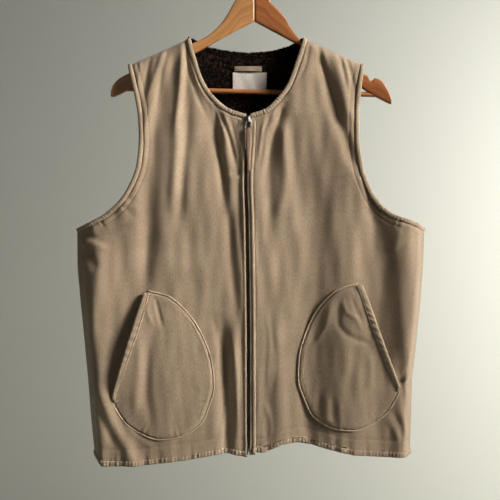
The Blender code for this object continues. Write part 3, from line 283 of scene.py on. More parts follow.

# %% [markdown]
# ## Creases, gathers and streaks
# Cloth that hangs on a hanger shows three scales of relief: broad folds, which the CAD has, narrower creases
# where it is pulled, and tiny gathers where it is sewn to a shorter strip. A crease is a soft trough or ridge
# beside a path drawn on the cloth. Cloth simulation would place them by chance; here they sit where the
# photograph shows them, and similar ones go on the sides that it hides. Broad swells, softer than the solids
# carry, stand for pile and air under the cloth and give the wide bright and dark bands.

# %% Creases of the fronts and of the back, each placed one by one
FRONT_CREASES = [
    # path of x and z, half width, height
    ([(-80, -226), (-64, -275), (-56, -335), (-49, -386)], 4.5, -1.8),
    ([(-64, -239), (-53, -265), (-40, -300), (-32, -346)], 4.0, -1.9),
    ([(-70, -250), (-57, -291), (-46, -343)], 4.5, 1.3),
    ([(-60, -240), (-43, -275), (-32, -308)], 4.0, 1.1),
    ([(-44, -349), (-32, -347), (-20, -345)], 3.5, -1.5),
    ([(-43, -358), (-22, -353)], 4.5, 1.0),
    ([(-26, -294), (-27, -389), (-24, -483)], 6.0, -1.5),
    ([(-108, -140), (-99, -180), (-86, -218), (-66, -250)], 3.5, 1.3),
    ([(-115, -146), (-105, -191), (-91, -231), (-74, -268)], 4.0, -1.5),
    ([(-165, -150), (-172, -190), (-176, -225)], 4.0, -1.8),
    ([(-121, -128), (-117, -160), (-120, -215), (-130, -300)], 4.5, 2.2),
    ([(-113, -128), (-110, -160), (-112, -215), (-120, -290)], 3.6, -2.2),
    ([(-143, -140), (-158, -190), (-177, -248)], 4.5, 2.0),
    ([(-137, -140), (-149, -190), (-158, -250)], 3.8, -2.0),
    ([(-182, -158), (-184, -190), (-187, -225)], 3.0, 1.0),
    ([(-283, -446), (-262, -447), (-239, -455)], 4.5, -2.8),
    ([(-285, -455), (-255, -459), (-226, -470)], 5.0, 2.4),
    ([(-280, -470), (-262, -480), (-246, -500)], 9.0, -3.4),
    ([(-250, -697), (-228, -752), (-203, -788)], 7.0, -2.2),
    ([(-238, -668), (-210, -722), (-184, -758), (-150, -777)], 6.0, 1.8),
    ([(-140, -400), (-150, -470), (-152, -545)], 9.0, 1.2),
    ([(-98, -420), (-104, -520), (-99, -600)], 12.0, -1.0),
    ([(44, -237), (33, -265), (24, -300), (16, -343), (9, -387)], 5.0, -1.8),
    ([(38, -246), (29, -275), (21, -310)], 4.0, 1.3),
    ([(50, -237), (45, -278), (37, -341)], 7.0, 1.2),
    ([(16, -262), (14, -300), (10, -352)], 4.0, 0.9),
    ([(225, -673), (238, -662), (252, -648)], 3.5, 2.4),
    ([(226, -680), (240, -670), (254, -657)], 3.5, -1.9),
    ([(224, -666), (236, -652), (247, -640)], 4.0, -1.5),
    ([(231, -679), (242, -684)], 4.5, -1.8),
    ([(203, -723), (212, -744), (220, -764)], 4.5, 1.7),
    ([(214, -717), (222, -741), (228, -768)], 4.5, -1.9),
    ([(225, -719), (231, -740), (235, -762)], 4.0, 1.6),
    ([(105, -150), (118, -200), (131, -262), (150, -318)], 5.0, -1.4),
    ([(96, -132), (101, -165), (116, -215), (132, -268)], 3.4, -1.8),
    ([(103, -134), (109, -165), (124, -212)], 3.6, 1.6),
    ([(128, -142), (134, -175), (141, -215)], 3.4, -2.0),
    ([(138, -148), (146, -180), (155, -225)], 3.4, -2.2),
    ([(133, -146), (140, -178), (148, -222)], 3.0, 1.5),
    ([(84, -128), (80, -165), (66, -205)], 3.5, -1.2),
    ([(168, -395), (196, -440), (214, -520)], 8.0, -1.6),
    ([(232, -452), (216, -462), (196, -486)], 5.0, 1.3),
    ([(262, -448), (240, -451), (214, -466)], 4.0, -1.4),
    ([(60, -420), (70, -470), (68, -530)], 10.0, 1.0),
    ([(-67, -240), (-63, -260), (-55, -294)], 2.6, -1.9),
    ([(-58, -250), (-49, -275), (-38, -310), (-31, -340)], 3.4, -2.0),
    ([(-62, -246), (-54, -272), (-42, -314)], 2.6, 1.4),
    ([(-45, -258), (-36, -284), (-29, -318)], 3.0, -1.6),
    ([(-25, -298), (-23, -320), (-22, -342)], 2.4, 1.5),
    ([(20, -250), (19, -262), (10, -286)], 2.4, -1.9),
    ([(14, -256), (9, -280), (2, -330)], 3.2, 1.6),
    ([(40, -242), (38, -256), (31, -276)], 2.6, -1.5),
    ([(29, -244), (26, -262), (22, -282)], 2.4, 1.3),
    ([(-262, -445), (-230, -441), (-196, -428)], 3.6, -1.4),
    ([(-60, -580), (-50, -640), (-47, -700), (-44, -780)], 8.0, -2.2),
    ([(-34, -600), (-31, -660), (-29, -760)], 3.6, 1.6),
    ([(-42, -590), (-36, -632), (-40, -700)], 3.0, 1.2),
    ([(-36, -690), (-50, -730), (-58, -775)], 3.2, 1.3),
    ([(-56, -612), (-66, -650), (-60, -690)], 4.0, 1.0),
    ([(-70, -560), (-62, -600), (-52, -640)], 4.0, -1.2),
    ([(176, -342), (186, -420), (200, -500), (208, -560)], 14.0, -2.2),
    ([(214, -640), (228, -690), (236, -760)], 5.0, -1.8),
    ([(14, -560), (20, -610), (16, -690)], 4.0, 1.2),
    ([(24, -590), (30, -640), (24, -700)], 4.0, -1.2),
    ([(10, -700), (22, -740), (16, -775)], 4.0, 1.2),
]
BACK_CREASES = [
    ([(-150, -176), (-128, -250), (-120, -330)], 5.0, -1.6),
    ([(-96, -150), (-84, -220), (-86, -300)], 5.0, 1.4),
    ([(70, -150), (66, -230), (76, -320)], 5.0, 1.5),
    ([(140, -182), (118, -260), (104, -340)], 5.0, -1.6),
    ([(-40, -160), (-30, -200), (-34, -260)], 6.0, -1.2),
    ([(-276, -452), (-240, -470), (-196, -506)], 6.0, -1.9),
    ([(-278, -470), (-246, -494), (-214, -540)], 6.0, 1.4),
    ([(256, -450), (222, -466), (180, -500)], 6.0, -1.9),
    ([(258, -470), (228, -492), (198, -530)], 6.0, 1.4),
    ([(-230, -640), (-190, -700), (-160, -770)], 8.0, -1.8),
    ([(222, -620), (196, -690), (176, -770)], 8.0, -1.8),
    ([(-84, -560), (-96, -660), (-90, -770)], 9.0, 1.6),
    ([(18, -480), (10, -600), (16, -720)], 12.0, -1.3),
    ([(112, -600), (124, -690), (118, -780)], 8.0, 1.5),
]

# %% Broad swells, where pile and cloth stand out more than the solids, and how relief is added up
SWELL_FADE_SIDE = 18.0
SWELLS = {
    # z_top, z_bottom, x_top, x_middle, x_bottom, half_width, height
    "front": [
        (-400.0, -900.0, -256.0, -254.0, -246.0, 26.0, 8.0),
        (-260.0, -900.0, -160.0, -172.0, -182.0, 34.0, -3.5),
        (-240.0, -900.0, -12.0, -10.0, -6.0, 26.0, 3.0),
        (-250.0, -900.0, 70.0, 84.0, 92.0, 44.0, -4.0),
        (-330.0, -900.0, 240.0, 250.0, 246.0, 44.0, 18.0),
        (-330.0, -720.0, 150.0, 176.0, 190.0, 34.0, -5.0),
        (-170.0, -900.0, -140.0, -150.0, -150.0, 75.0, 5.0),
        (-170.0, -900.0, 130.0, 132.0, 140.0, 70.0, 6.0),
        (-150.0, -900.0, 180.0, 212.0, 210.0, 78.0, 6.0),
        (-150.0, -900.0, -210.0, -238.0, -230.0, 80.0, 8.0),
        (-150.0, -420.0, 150.0, 140.0, 150.0, 24.0, 2.5),
    ],
    "back": [
        (-400.0, -900.0, -250.0, -248.0, -240.0, 26.0, 5.0),
        (-400.0, -900.0, 236.0, 234.0, 226.0, 26.0, 5.0),
        (-300.0, -900.0, -60.0, -70.0, -80.0, 50.0, -3.0),
        (-300.0, -900.0, 70.0, 64.0, 60.0, 50.0, -3.0),
    ],
}


def broad_depth(x, z, face):
    """The solid's form with the broad swells of cloth and pile that fade out at the side seams."""
    centre, half = body_width(z)
    below_shoulder = smooth_step((shoulder_height(x) - z) / FADE_SHOULDER)
    room = below_shoulder * smooth_step((half - np.abs(x - centre)) / SWELL_FADE_SIDE)
    return form_depth(x, z, face) + room * bent_bells(x, z, SWELLS[face],
                                                      lambda down: smooth_step(down / 0.25 + 0.1))


def beside_path(x, z, path):
    """Distance from each point to a line of straight steps, the share of it at the nearest place, its length."""
    path = np.asarray(path, dtype=float)
    steps = np.diff(path, axis=0)
    lengths = np.maximum(np.hypot(steps[:, 0], steps[:, 1]), 1e-6)
    before = np.concatenate([[0.0], np.cumsum(lengths)])
    nearest, share = np.full(np.shape(x), np.inf), np.zeros(np.shape(x))
    for start, step, length, gone in zip(path[:-1], steps, lengths, before):
        along = np.clip(((x - start[0]) * step[0] + (z - start[1]) * step[1]) / length ** 2, 0.0, 1.0)
        distance = np.hypot(x - start[0] - along * step[0], z - start[1] - along * step[1])
        closer = distance < nearest
        nearest = np.where(closer, distance, nearest)
        share = np.where(closer, (gone + along * length) / before[-1], share)
    return nearest, share, before[-1]


def crease_height(x, z, creases):
    """Sum of creases: each is a bell across its path, fading over the first and last third."""
    total = np.zeros(np.shape(x))
    for path, half_width, height in creases:
        path = np.asarray(path, dtype=float)
        bent = smooth_table(path, np.linspace(0.0, len(path) - 1.0, 4 * len(path)))
        near = ((x > bent[:, 0].min() - 3 * half_width) & (x < bent[:, 0].max() + 3 * half_width)
                & (z > bent[:, 1].min() - 3 * half_width) & (z < bent[:, 1].max() + 3 * half_width))
        if near.any():
            distance, share, _ = beside_path(x[near], z[near], bent)
            ends = smooth_step(share / 0.35 + 0.15) * smooth_step((1.0 - share) / 0.35 + 0.15)
            total[near] += height * ends * bell(distance, half_width)
    return total


def gathers(x, z, path, pitch, reach, height, seed, stretch=(0.0, 1.0)):
    """Small pleats square to a seam: three waves along it, uneven in strength, that die away from it."""
    distance, share, length = beside_path(x, z, path)
    random = np.random.default_rng(seed)
    along = share * length
    wave = np.zeros(np.shape(x))
    for factor in (0.83, 1.0, 1.39):
        wave += np.sin(2.0 * math.pi * along / (pitch * factor) + random.uniform(0.0, 6.3))
    uneven = 0.6 + 0.4 * np.sin(2.0 * math.pi * along / (6.3 * pitch) + random.uniform(0.0, 6.3))
    there = smooth_step((share - stretch[0]) / 0.06) * smooth_step((stretch[1] - share) / 0.06)
    return height * uneven * wave / 2.0 * np.exp(-distance / reach) * there


def streaks(x, z, seed):
    """The cloth's own slight unevenness: fourteen long waves, short across and long down the cloth."""
    random = np.random.default_rng(seed)
    total = np.zeros(np.shape(x))
    for _ in range(14):
        across, down = random.uniform(16.0, 70.0), random.uniform(90.0, 420.0) * random.choice([-1, 1])
        total += random.uniform(0.08, 0.26) * np.sin(2.0 * math.pi * (x / across + z / down)
                                                     + random.uniform(0.0, 6.3))
    return total


# %% The finished surface of the cloth
RIGHT_DRAWN_BACK, LEFT_LAP = 6.2, 7.2
LAP_START_Z, LAP_GROWS_OVER = -266.0, 110.0
ZIP_TOP_Z = -262.0
FACING_WIDTH, ZIP_FACING, HEM_FACING = 16.0, 8.6, 27.0
BINDING_SEAM, SEAM_DENT = BINDING_WIDTH + 0.4, 1.3
FOLD_DEEPENED, CREASE_DEEPENED = 0.26, 1.1
RELIEF_LIMITS = {"front": 7.5, "back": 4.8}
# Gathers of a seam: pitch, reach, height, step of the seed and the share of the seam where they end
NECK_GATHERS = ((6.5, 9.0, 1.3, 0, 0.34), (12.0, 16.0, 0.8, 4, 0.5))
ARMHOLE_GATHERS = ((7.5, 12.0, 2.3, 0, 0.3), (15.0, 20.0, 1.0, 5, 0.5))
# Gathers of the hem: pitch, height, seed and reach
HEM_GATHERS = ((8.5, 1.1, 41, 9.0), (21.0, 1.2, 43, 26.0))


def edge_from(start, column, places):
    """x and z of an edge above a corner row, smooth from there on and without the bend into the corner."""
    return smooth_table(BODY_ROWS[start:, column:column + 2], np.asarray(places) - start)


def side_line(side, steps=60):
    """x and z along an armhole's edge, from the underarm to the shoulder."""
    return edge_from(UNDERARM_ROW, 0 if side == "right" else 6, np.linspace(UNDERARM_ROW, SHOULDER_ROW, steps))


def neck_line(side, steps=40):
    """x and z along half of the front neck, from the zip to the shoulder."""
    return edge_from(NECK_ROW, 2 if side == "right" else 4, np.linspace(NECK_ROW, SHOULDER_ROW, steps))


def front_edge(z, side):
    """x of a front's finished edge along the zip: the left front laps the zip, the right one is drawn back."""
    ramp = smooth_step((LAP_START_Z - z) / LAP_GROWS_OVER)
    return zip_edge(z, side) - ramp * (RIGHT_DRAWN_BACK if side == "right" else LEFT_LAP)


def above_hem(x, z, face):
    """Height of places over the hem of a face."""
    return z - np.interp(x, HEMS[face][:, 0], HEMS[face][:, 1])


def seam_relief(x, z, path, table, seed):
    """The gathers of a seam's first part, and the distance from the seam with the share along it."""
    relief = sum(gathers(x, z, path, pitch, reach, height, seed + later, (-0.1, end))
                 for pitch, reach, height, later, end in table)
    return relief, *beside_path(x, z, path)[:2]


def cloth_depth(x, z, face):
    """Depth of the finished cloth: the solid's form, creases, gathers at the seams and stitched-down facings."""
    x, z = np.broadcast_arrays(np.asarray(x, dtype=float), np.asarray(z, dtype=float))
    shape = x.shape
    x, z = x.ravel(), z.ravel()
    centre, half = body_width(z)
    below_shoulder = smooth_step((shoulder_height(x) - z) / 9.0)
    fine = below_shoulder * smooth_step((half - np.abs(x - centre)) / 14.0)
    full = broad_depth(x, z, face) + FOLD_DEEPENED * fold_height(x, z, face)
    if face == "front":
        laps = x >= zip_edge(z, None)
        from_edge = np.where(laps, x - front_edge(z, "left"), front_edge(z, "right") - x)
        off_zip = smooth_step((from_edge - np.where(laps, 8.0, 1.0)) / 7.0)
        relief = off_zip * (CREASE_DEEPENED * crease_height(x, z, FRONT_CREASES) + streaks(x, z, 3))
        for side, seed in (("right", 11), ("left", 12)):
            gathered, distance, _ = seam_relief(x, z, neck_line(side), NECK_GATHERS, seed)
            relief += gathered
            full = full - SEAM_DENT * below_shoulder * bell(distance - BINDING_SEAM, 1.7)
        band = np.where(laps, 2.0 * (1.0 - smooth_step((from_edge - 7.2) / 1.6)), 1.4 * bell(from_edge - 2.4, 2.0))
        groove = np.where(laps, 0.9 * bell(from_edge - ZIP_FACING, 1.2) + 0.8 * bell(from_edge - 3.4, 1.0), 0.0)
        ripple = 0.35 * np.sin(z / 5.1) * np.sin(z / 17.0) * bell(from_edge - 6.0, 5.0)
        full = full + smooth_step((ZIP_TOP_Z - z) / 10.0) * (band - groove + ripple)
    else:
        relief = CREASE_DEEPENED * crease_height(x, z, BACK_CREASES) + streaks(x, z, 5)
        relief += gathers(x, z, BACK_TOP[1:-1, 1:], 7.0, 9.0, 0.8, 21)
    for side, seed in (("right", 31), ("left", 32)):
        gathered, distance, share = seam_relief(x, z, side_line(side), ARMHOLE_GATHERS, seed)
        relief += gathered - 0.7 * bell(distance - FACING_WIDTH, 1.8) * smooth_step(share / 0.1)
        full = full - SEAM_DENT * below_shoulder * bell(distance - BINDING_SEAM, 1.7)
    high = above_hem(x, z, face)
    along_hem = [(-262.0, 0.0), (-6.0, 0.0), (250.0, 0.0)]
    for pitch, height, seed, reach in HEM_GATHERS:
        relief += (gathers(x, np.zeros_like(x), along_hem, pitch, 1e6, height, seed + len(HEMS[face]))
                   * np.exp(-np.maximum(high - HEM_WIDTH, 0.0) / reach))
    relief -= 0.8 * bell(high - HEM_FACING, 2.2)
    floor = bare_depth(x, z, face) - RELIEF_LIMITS[face] * np.maximum(fold_fade(x, z)[0], 0.2)
    return np.maximum(full + fine * relief, floor).reshape(shape)


def standing(x, z, depth, face):
    """Points at x and z that stand out from the middle plane by a depth."""
    return np.stack([x, OUTWARD[face] * depth, z], axis=-1)


def on_surface(depth, x, z, face, lift, step):
    """Points of a depth function moved out by a lift, and outward directions from its slopes over a step."""
    slope_x = (depth(x + step, z, face) - depth(x - step, z, face)) / (2.0 * step)
    slope_z = (depth(x, z + step, face) - depth(x, z - step, face)) / (2.0 * step)
    normal = unit(np.stack([-slope_x, OUTWARD[face] * np.ones_like(slope_x), -slope_z], axis=-1))
    return standing(x, z, depth(x, z, face), face) + normal * np.asarray(lift)[..., None], normal


print("cloth at mid chest:", round(float(cloth_depth(-60.0, -430.0, "front")), 1), "mm")

# %% [markdown]
# ## Turning arrays into pieces
# A piece is a grid of points with faces between neighbours. One function puts points and faces into a mesh,
# turns the faces outward, gives it its UV map in metres, and tells the frame which body it rides on and which
# CAD solids it stands for. Shells and tubes are the only two kinds of grid that the vest needs.


# %% Mesh helpers
def facing_out(points, faces):
    """The faces, all reversed if the closed mesh has a negative volume."""
    quads = np.array([face for face in faces if len(face) == 4])
    a, b, c, d = (points[quads[:, k]] for k in range(4))
    volume = np.sum(a * np.cross(b, c)) + np.sum(a * np.cross(c, d))
    return faces if volume > 0.0 else [face[::-1] for face in faces]


def make_piece(name, skin, material, nodes=(), body="vest", uv=None, marks=None):
    """Mesh object from points in millimetres and faces: smooth shaded, riding on a body, standing for CAD nodes."""
    points, faces = skin
    mesh = bpy.data.meshes.new(name)
    mesh.from_pydata((np.asarray(points) * MM).tolist(), [], faces)
    mesh.polygons.foreach_set("use_smooth", np.ones(len(mesh.polygons), dtype=bool))
    corner = np.empty(len(mesh.loops), dtype=np.int32)
    mesh.loops.foreach_get("vertex_index", corner)
    if uv is not None:
        layer = mesh.uv_layers.new(name="UVMap")
        layer.data.foreach_set("uv", (np.asarray(uv)[corner] * MM).ravel())
    for mark, values in (marks or {}).items():
        mesh.attributes.new(mark, "FLOAT", "POINT").data.foreach_set("value", np.ravel(values))
    mesh.materials.append(material)
    mesh.update()
    piece = bpy.data.objects.new(name, mesh)
    bpy.context.scene.collection.objects.link(piece)
    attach(piece, body)
    if nodes:
        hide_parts(*nodes)
    print(f"{name}: {len(points)} points, {sum(len(face) - 2 for face in faces)} triangles")
    return piece


def grid_faces(rows, columns, wrap=False):
    """Four-cornered faces of a grid of points, row after row; wrap joins its last column to its first."""
    row = np.arange(rows - 1)[:, None]
    column = np.arange(columns if wrap else columns - 1)[None, :]
    beside = (column + 1) % columns
    corners = [row * columns + column, row * columns + beside, (row + 1) * columns + beside,
               (row + 1) * columns + column]
    return np.stack(corners, axis=-1).reshape(-1, 4)


def shell(outer, inner):
    """Closed wall between two grids of points of the same size: both faces and the rim."""
    rows, columns = outer.shape[:2]
    count = rows * columns
    face = grid_faces(rows, columns)
    index = np.arange(count).reshape(rows, columns)
    loop = np.concatenate([index[0], index[1:, -1], index[-1, -2::-1], index[-2:0:-1, 0]])
    beside = np.roll(loop, -1)
    rim = np.stack([beside, loop, loop + count, beside + count], axis=-1)
    points = np.concatenate([outer.reshape(-1, 3), inner.reshape(-1, 3)])
    faces = np.concatenate([face, face[:, ::-1] + count, rim]).tolist()
    return points, facing_out(points, faces)


def tube(rings, closed=False):
    """Skin over rings of points along a path, with its ends closed by flat faces unless it runs round."""
    rings = np.asarray(rings)
    count, size = rings.shape[:2]
    points = rings.reshape(-1, 3)
    if closed:
        faces = grid_faces(count + 1, size, True) % (count * size)
        return points, facing_out(points, faces.tolist())
    faces = grid_faces(count, size, True).tolist()
    faces += [list(range(size))[::-1], [(count - 1) * size + k for k in range(size)]]
    return points, facing_out(points, faces)


def joined(parts):
    """Several sets of points and faces as one set."""
    points, faces, count = [], [], 0
    for part_points, part_faces in parts:
        points.append(part_points)
        faces += [[corner + count for corner in face] for face in part_faces]
        count += len(part_points)
    return np.concatenate(points), faces


def shell_piece(name, outer, inner, material, nodes, uv=None, wear_and_highlight=None):
    """Shell between two grids as a piece; both of its faces get the same UV and the same wear."""
    both = None if uv is None else np.tile(np.reshape(uv, (-1, 2)), (2, 1))
    marks = None if wear_and_highlight is None else {"wear_and_highlight": np.tile(np.ravel(wear_and_highlight), 2)}
    return make_piece(name, shell(outer, inner), material, nodes, uv=both, marks=marks)


def profile(sides, wide=1.0, high=1.0, turn=0.0):
    """Two coordinates round a profile, sign(cos) |cos|^wide and sign(sin) |sin|^high: below 1 it is squarer."""
    angle = np.linspace(0.0, 2.0 * math.pi, sides, endpoint=False) + turn
    c, s = np.cos(angle), np.sin(angle)
    return np.sign(c) * np.abs(c) ** wide, np.sign(s) * np.abs(s) ** high


def swept(path, across, up, section, width=1.0, height=1.0):
    """Rings of a profile carried along a path: its first coordinate lies across, its second one up."""
    width, height = (np.broadcast_to(size, len(path))[:, None, None] for size in (width, height))
    wide, high = (coordinate[None, :, None] for coordinate in section)
    return path[:, None] + across[:, None] * wide * width + up[:, None] * high * height


def grid_directions(points, face):
    """Outward direction at each point of a grid, from the cross product of its two slopes."""
    normal = unit(np.cross(np.gradient(points, axis=1), np.gradient(points, axis=0)))
    middle = normal[normal.shape[0] // 2, normal.shape[1] // 2, 1]
    return normal if middle * OUTWARD[face] > 0.0 else -normal


# %% [markdown]
# ## Finishes
# Each finish starts from what the real one is. A small function turns the colours of the photograph, which are
# sRGB, into the linear light that shaders use, and another one adds a node with its settings and links. The
# patterns are scaled from real sizes: a rib of the cloth is near a millimetre, a streak of wear is centimetres.


# %% Colours and nodes
def colour(code):
    """Linear RGBA from an sRGB hex code: v/12.92 near black, else ((v + 0.055)/1.055)^2.4."""
    values = [int(code[k:k + 2], 16) / 255.0 for k in (1, 3, 5)]
    linear = [v / 12.92 if v <= 0.04045 else ((v + 0.055) / 1.055) ** 2.4 for v in values]
    return (*linear, 1.0)


def add_node(tree, kind, inputs=None, **settings):
    """New node; settings are its properties, inputs its sockets by name or number: a value or another's output."""
    node = tree.nodes.new(kind)
    for key, value in settings.items():
        setattr(node, key, value)
    for key, value in (inputs or {}).items():
        if isinstance(value, bpy.types.NodeSocket):
            tree.links.new(value, node.inputs[key])
        else:
            node.inputs[key].default_value = value
    return node


def new_material(name, roughness, metallic=0.0, **shader_values):
    """Material with a Principled shader; uniform values are set on the shader's own sockets."""
    material = bpy.data.materials.new(name)
    material.use_nodes = True
    shader = material.node_tree.nodes["Principled BSDF"]
    shader.inputs["Roughness"].default_value = roughness
    shader.inputs["Metallic"].default_value = metallic
    for key, value in shader_values.items():
        shader.inputs[key.replace("_", " ")].default_value = value
    return material, material.node_tree, shader


def noise(tree, vector, size_mm, detail=3.0, roughness=0.55, stretch=(1.0, 1.0, 1.0)):
    """Noise whose features measure about size_mm; a stretch of 0.2 makes them five times longer that way."""
    mapping = add_node(tree, "ShaderNodeMapping", {"Vector": vector, "Scale": stretch})
    return add_node(tree, "ShaderNodeTexNoise", {"Vector": mapping.outputs[0], "Scale": 1.0 / (size_mm * MM),
                                                 "Detail": detail, "Roughness": roughness}).outputs["Fac"]


def between(tree, factor, low, high):
    """Factor stretched so that low becomes 0 and high becomes 1."""
    return add_node(tree, "ShaderNodeMapRange", {"Value": factor, "From Min": low, "From Max": high}).outputs[0]


def blend_colours(tree, factor, first, second, kind="MIX"):
    """Colour mix of two colours or outputs."""
    node = add_node(tree, "ShaderNodeMix", data_type="RGBA", blend_type=kind)
    for index, value in ((0, factor), (6, first), (7, second)):
        if isinstance(value, bpy.types.NodeSocket):
            tree.links.new(value, node.inputs[index])
        else:
            node.inputs[index].default_value = value
    return node.outputs[2]


def bump(tree, height, strength, depth_mm, **below):
    """Normal bent by a height pattern of a depth in millimetres, over another normal if one is given."""
    return add_node(tree, "ShaderNodeBump", {"Strength": strength, "Distance": depth_mm * MM, "Height": height,
                                             **below}).outputs[0]


def woven(name, warm, cool, worn, rib_mm=1.1, rib_depth=0.35, sheen=0.25):
    """Matt ribbed cotton: fine ribs down the piece, soft worn streaks, and a pale worn colour where it is marked; on
    the crests of the binding and hem puckers that mark is partly a painted highlight.
    """
    material, tree, shader = new_material(name, 0.88, Sheen_Weight=sheen, Sheen_Roughness=0.45, IOR=1.5,
                                          Specular_IOR_Level=0.25)
    place = add_node(tree, "ShaderNodeTexCoord")
    uv = add_node(tree, "ShaderNodeUVMap", uv_map="UVMap").outputs[0]
    streak = noise(tree, place.outputs["Object"], 26.0, 4.0, 0.6, (1.0, 1.0, 0.3))
    cloud = noise(tree, place.outputs["Object"], 90.0, 2.0)
    fleck = noise(tree, uv, 2.2, 3.0, 0.7, (1.0, 0.45, 1.0))
    base = blend_colours(tree, between(tree, streak, 0.36, 0.66), colour(warm), colour(cool))
    base = blend_colours(tree, between(tree, cloud, 0.5, 0.78), base, colour(worn))
    # Pale where marked: rubbing at seams and pocket edges, and on the pucker crests of bindings and hem partly a
    # painted highlight
    mark = add_node(tree, "ShaderNodeAttribute", attribute_name="wear_and_highlight").outputs["Fac"]
    base = blend_colours(tree, mark, base, colour(worn))
    grain = blend_colours(tree, between(tree, fleck, 0.3, 0.7), (0.8, 0.8, 0.8, 1.0), (1.14, 1.14, 1.14, 1.0))
    base = blend_colours(tree, 1.0, base, grain, "MULTIPLY")
    tree.links.new(base, shader.inputs["Base Color"])
    # The rib's pitch is rib_mm; a wave texture repeats every 0.314 / scale metres
    rib = add_node(tree, "ShaderNodeTexWave", {"Vector": uv, "Scale": 0.31416 / (rib_mm * MM), "Distortion": 0.4,
                                               "Detail": 1.0}, bands_direction="X").outputs["Fac"]
    ribbed = bump(tree, rib, rib_depth, 0.3)
    tree.links.new(bump(tree, fleck, 0.35, 0.8, Normal=ribbed), shader.inputs["Normal"])
    return material


deck_cloth = woven("matt_ribbed_cotton_deck_cloth", "#A18C72", "#95816A", "#AD987E")
binding_cloth = woven("folded_cotton_binding", "#A08B71", "#8C7961", "#BCA88D", 0.9, 0.3)
tape_cloth = woven("brown_cotton_zip_tape", "#6E5C49", "#5B4A3A", "#806C56", 1.6, 0.6, 0.1)
label_cloth = woven("plain_woven_white_label", "#D8D2C6", "#C9C2B4", "#E2DDD2", 0.8, 0.3, 0.1)
thread = woven("waxed_cotton_thread", "#7E6C55", "#6C5B47", "#8F7C63", 0.8, 0.2, 0.2)
print("cloth finishes:", deck_cloth.name, binding_cloth.name, tape_cloth.name)

# %% Pile, metal, leather and wood
def mottled(name, dark, light, roughness, specular, size_mm, detail_roughness, limits, strength, depth_mm):
    """Soft rough finish: one noise mixes a dark and a light colour and raises the surface."""
    material, tree, shader = new_material(name, roughness, Specular_IOR_Level=specular)
    spot = add_node(tree, "ShaderNodeTexCoord").outputs["Object"]
    pattern = noise(tree, spot, size_mm, 3.0, detail_roughness)
    tree.links.new(blend_colours(tree, between(tree, pattern, *limits), colour(dark), colour(light)),
                   shader.inputs["Base Color"])
    tree.links.new(bump(tree, pattern, strength, depth_mm), shader.inputs["Normal"])
    return material


def metal(name, base, roughness, scratch_mm):
    """Worn plated metal: a metallic colour mixed with a darker grey in random patches, with fine rubbing in its
    roughness.
    """
    material, tree, shader = new_material(name, roughness, 1.0)
    spot = add_node(tree, "ShaderNodeTexCoord").outputs["Object"]
    rub = noise(tree, spot, scratch_mm, 4.0, 0.65)
    tree.links.new(blend_colours(tree, between(tree, rub, 0.35, 0.7), colour(base), colour("#6E6C68")),
                   shader.inputs["Base Color"])
    tree.links.new(add_node(tree, "ShaderNodeMapRange", {"Value": rub, "To Min": roughness - 0.08,
                                                         "To Max": roughness + 0.14}).outputs[0],
                   shader.inputs["Roughness"])
    tree.links.new(bump(tree, rub, 0.15, 0.1), shader.inputs["Normal"])
    return material


def wood(name, light, dark, grain_mm):
    """Varnished hardwood: grain that runs along the piece's UV, a clear coat over it."""
    material, tree, shader = new_material(name, 0.42, Coat_Weight=0.35, Coat_Roughness=0.25, IOR=1.5)
    uv = add_node(tree, "ShaderNodeUVMap", uv_map="UVMap").outputs[0]
    fibre = noise(tree, uv, grain_mm, 4.0, 0.6, (0.035, 1.0, 1.0))
    ring = noise(tree, uv, 9.0, 2.0, 0.5, (0.05, 1.0, 1.0))
    base = blend_colours(tree, between(tree, ring, 0.35, 0.68), colour(light), colour(dark))
    dark_line = blend_colours(tree, between(tree, fibre, 0.35, 0.62), (0.72, 0.68, 0.62, 1.0), (1.0, 1.0, 1.0, 1.0))
    tree.links.new(blend_colours(tree, 1.0, base, dark_line, "MULTIPLY"), shader.inputs["Base Color"])
    tree.links.new(bump(tree, fibre, 0.2, 0.15), shader.inputs["Normal"])
    return material


pile_wool = mottled("curly_brown_wool_pile", "#060404", "#3A2A1F", 0.95, 0.08, 3.6, 0.7, (0.45, 0.68), 0.9, 1.5)
pull_leather = mottled("soft_tan_leather", "#74594A", "#9C7F68", 0.62, 0.4, 0.9, 0.55, (0.35, 0.7), 0.4, 0.2)
zip_metal = metal("worn_nickel_silver", "#827F7A", 0.46, 1.2)
hook_metal = metal("bright_plated_steel_wire", "#C4C4C4", 0.26, 2.0)
light_wood = wood("varnished_light_beech", "#CE965E", "#B57C47", 1.4)
dark_wood = wood("varnished_red_beech", "#B4713A", "#935428", 1.4)
bar_wood = wood("varnished_orange_beech", "#C4824C", "#A5673A", 1.4)
print("finishes:", len(bpy.data.materials))

# %% [markdown]
# ## The two fronts
# Each front is one panel of ribbed cotton from hem to shoulder and from zip to side seam. It could be draped by
# simulation, but its folds have known places, so the panel is a fine grid laid on the depth function. The grid
# is closer together at the zip, at the side and over the shoulder, where the cloth turns most.


# %% Grid of a front
def row_places(stretches, over):
    """Row numbers of a grid: even within each stretch (first, last, count), closing up over the shoulder."""
    closing = SHOULDER_ROW - 1.0 + np.sin(np.linspace(0.0, math.pi / 2.0, over))
    return np.unique(np.concatenate([*(np.linspace(*stretch) for stretch in stretches), closing]))


def edge_inward(points, first, last):
    """Unit directions into the cloth along an edge in x and z; the first and last are given."""
    tangent = unit(np.gradient(points, axis=0))
    inward = np.stack([-tangent[:, 1], tangent[:, 0]], axis=-1)
    if np.dot(inward[len(points) // 2], (first + last) / 2.0) < 0.0:
        inward = -inward
    inward[0], inward[-1] = first, last
    return unit(inward)


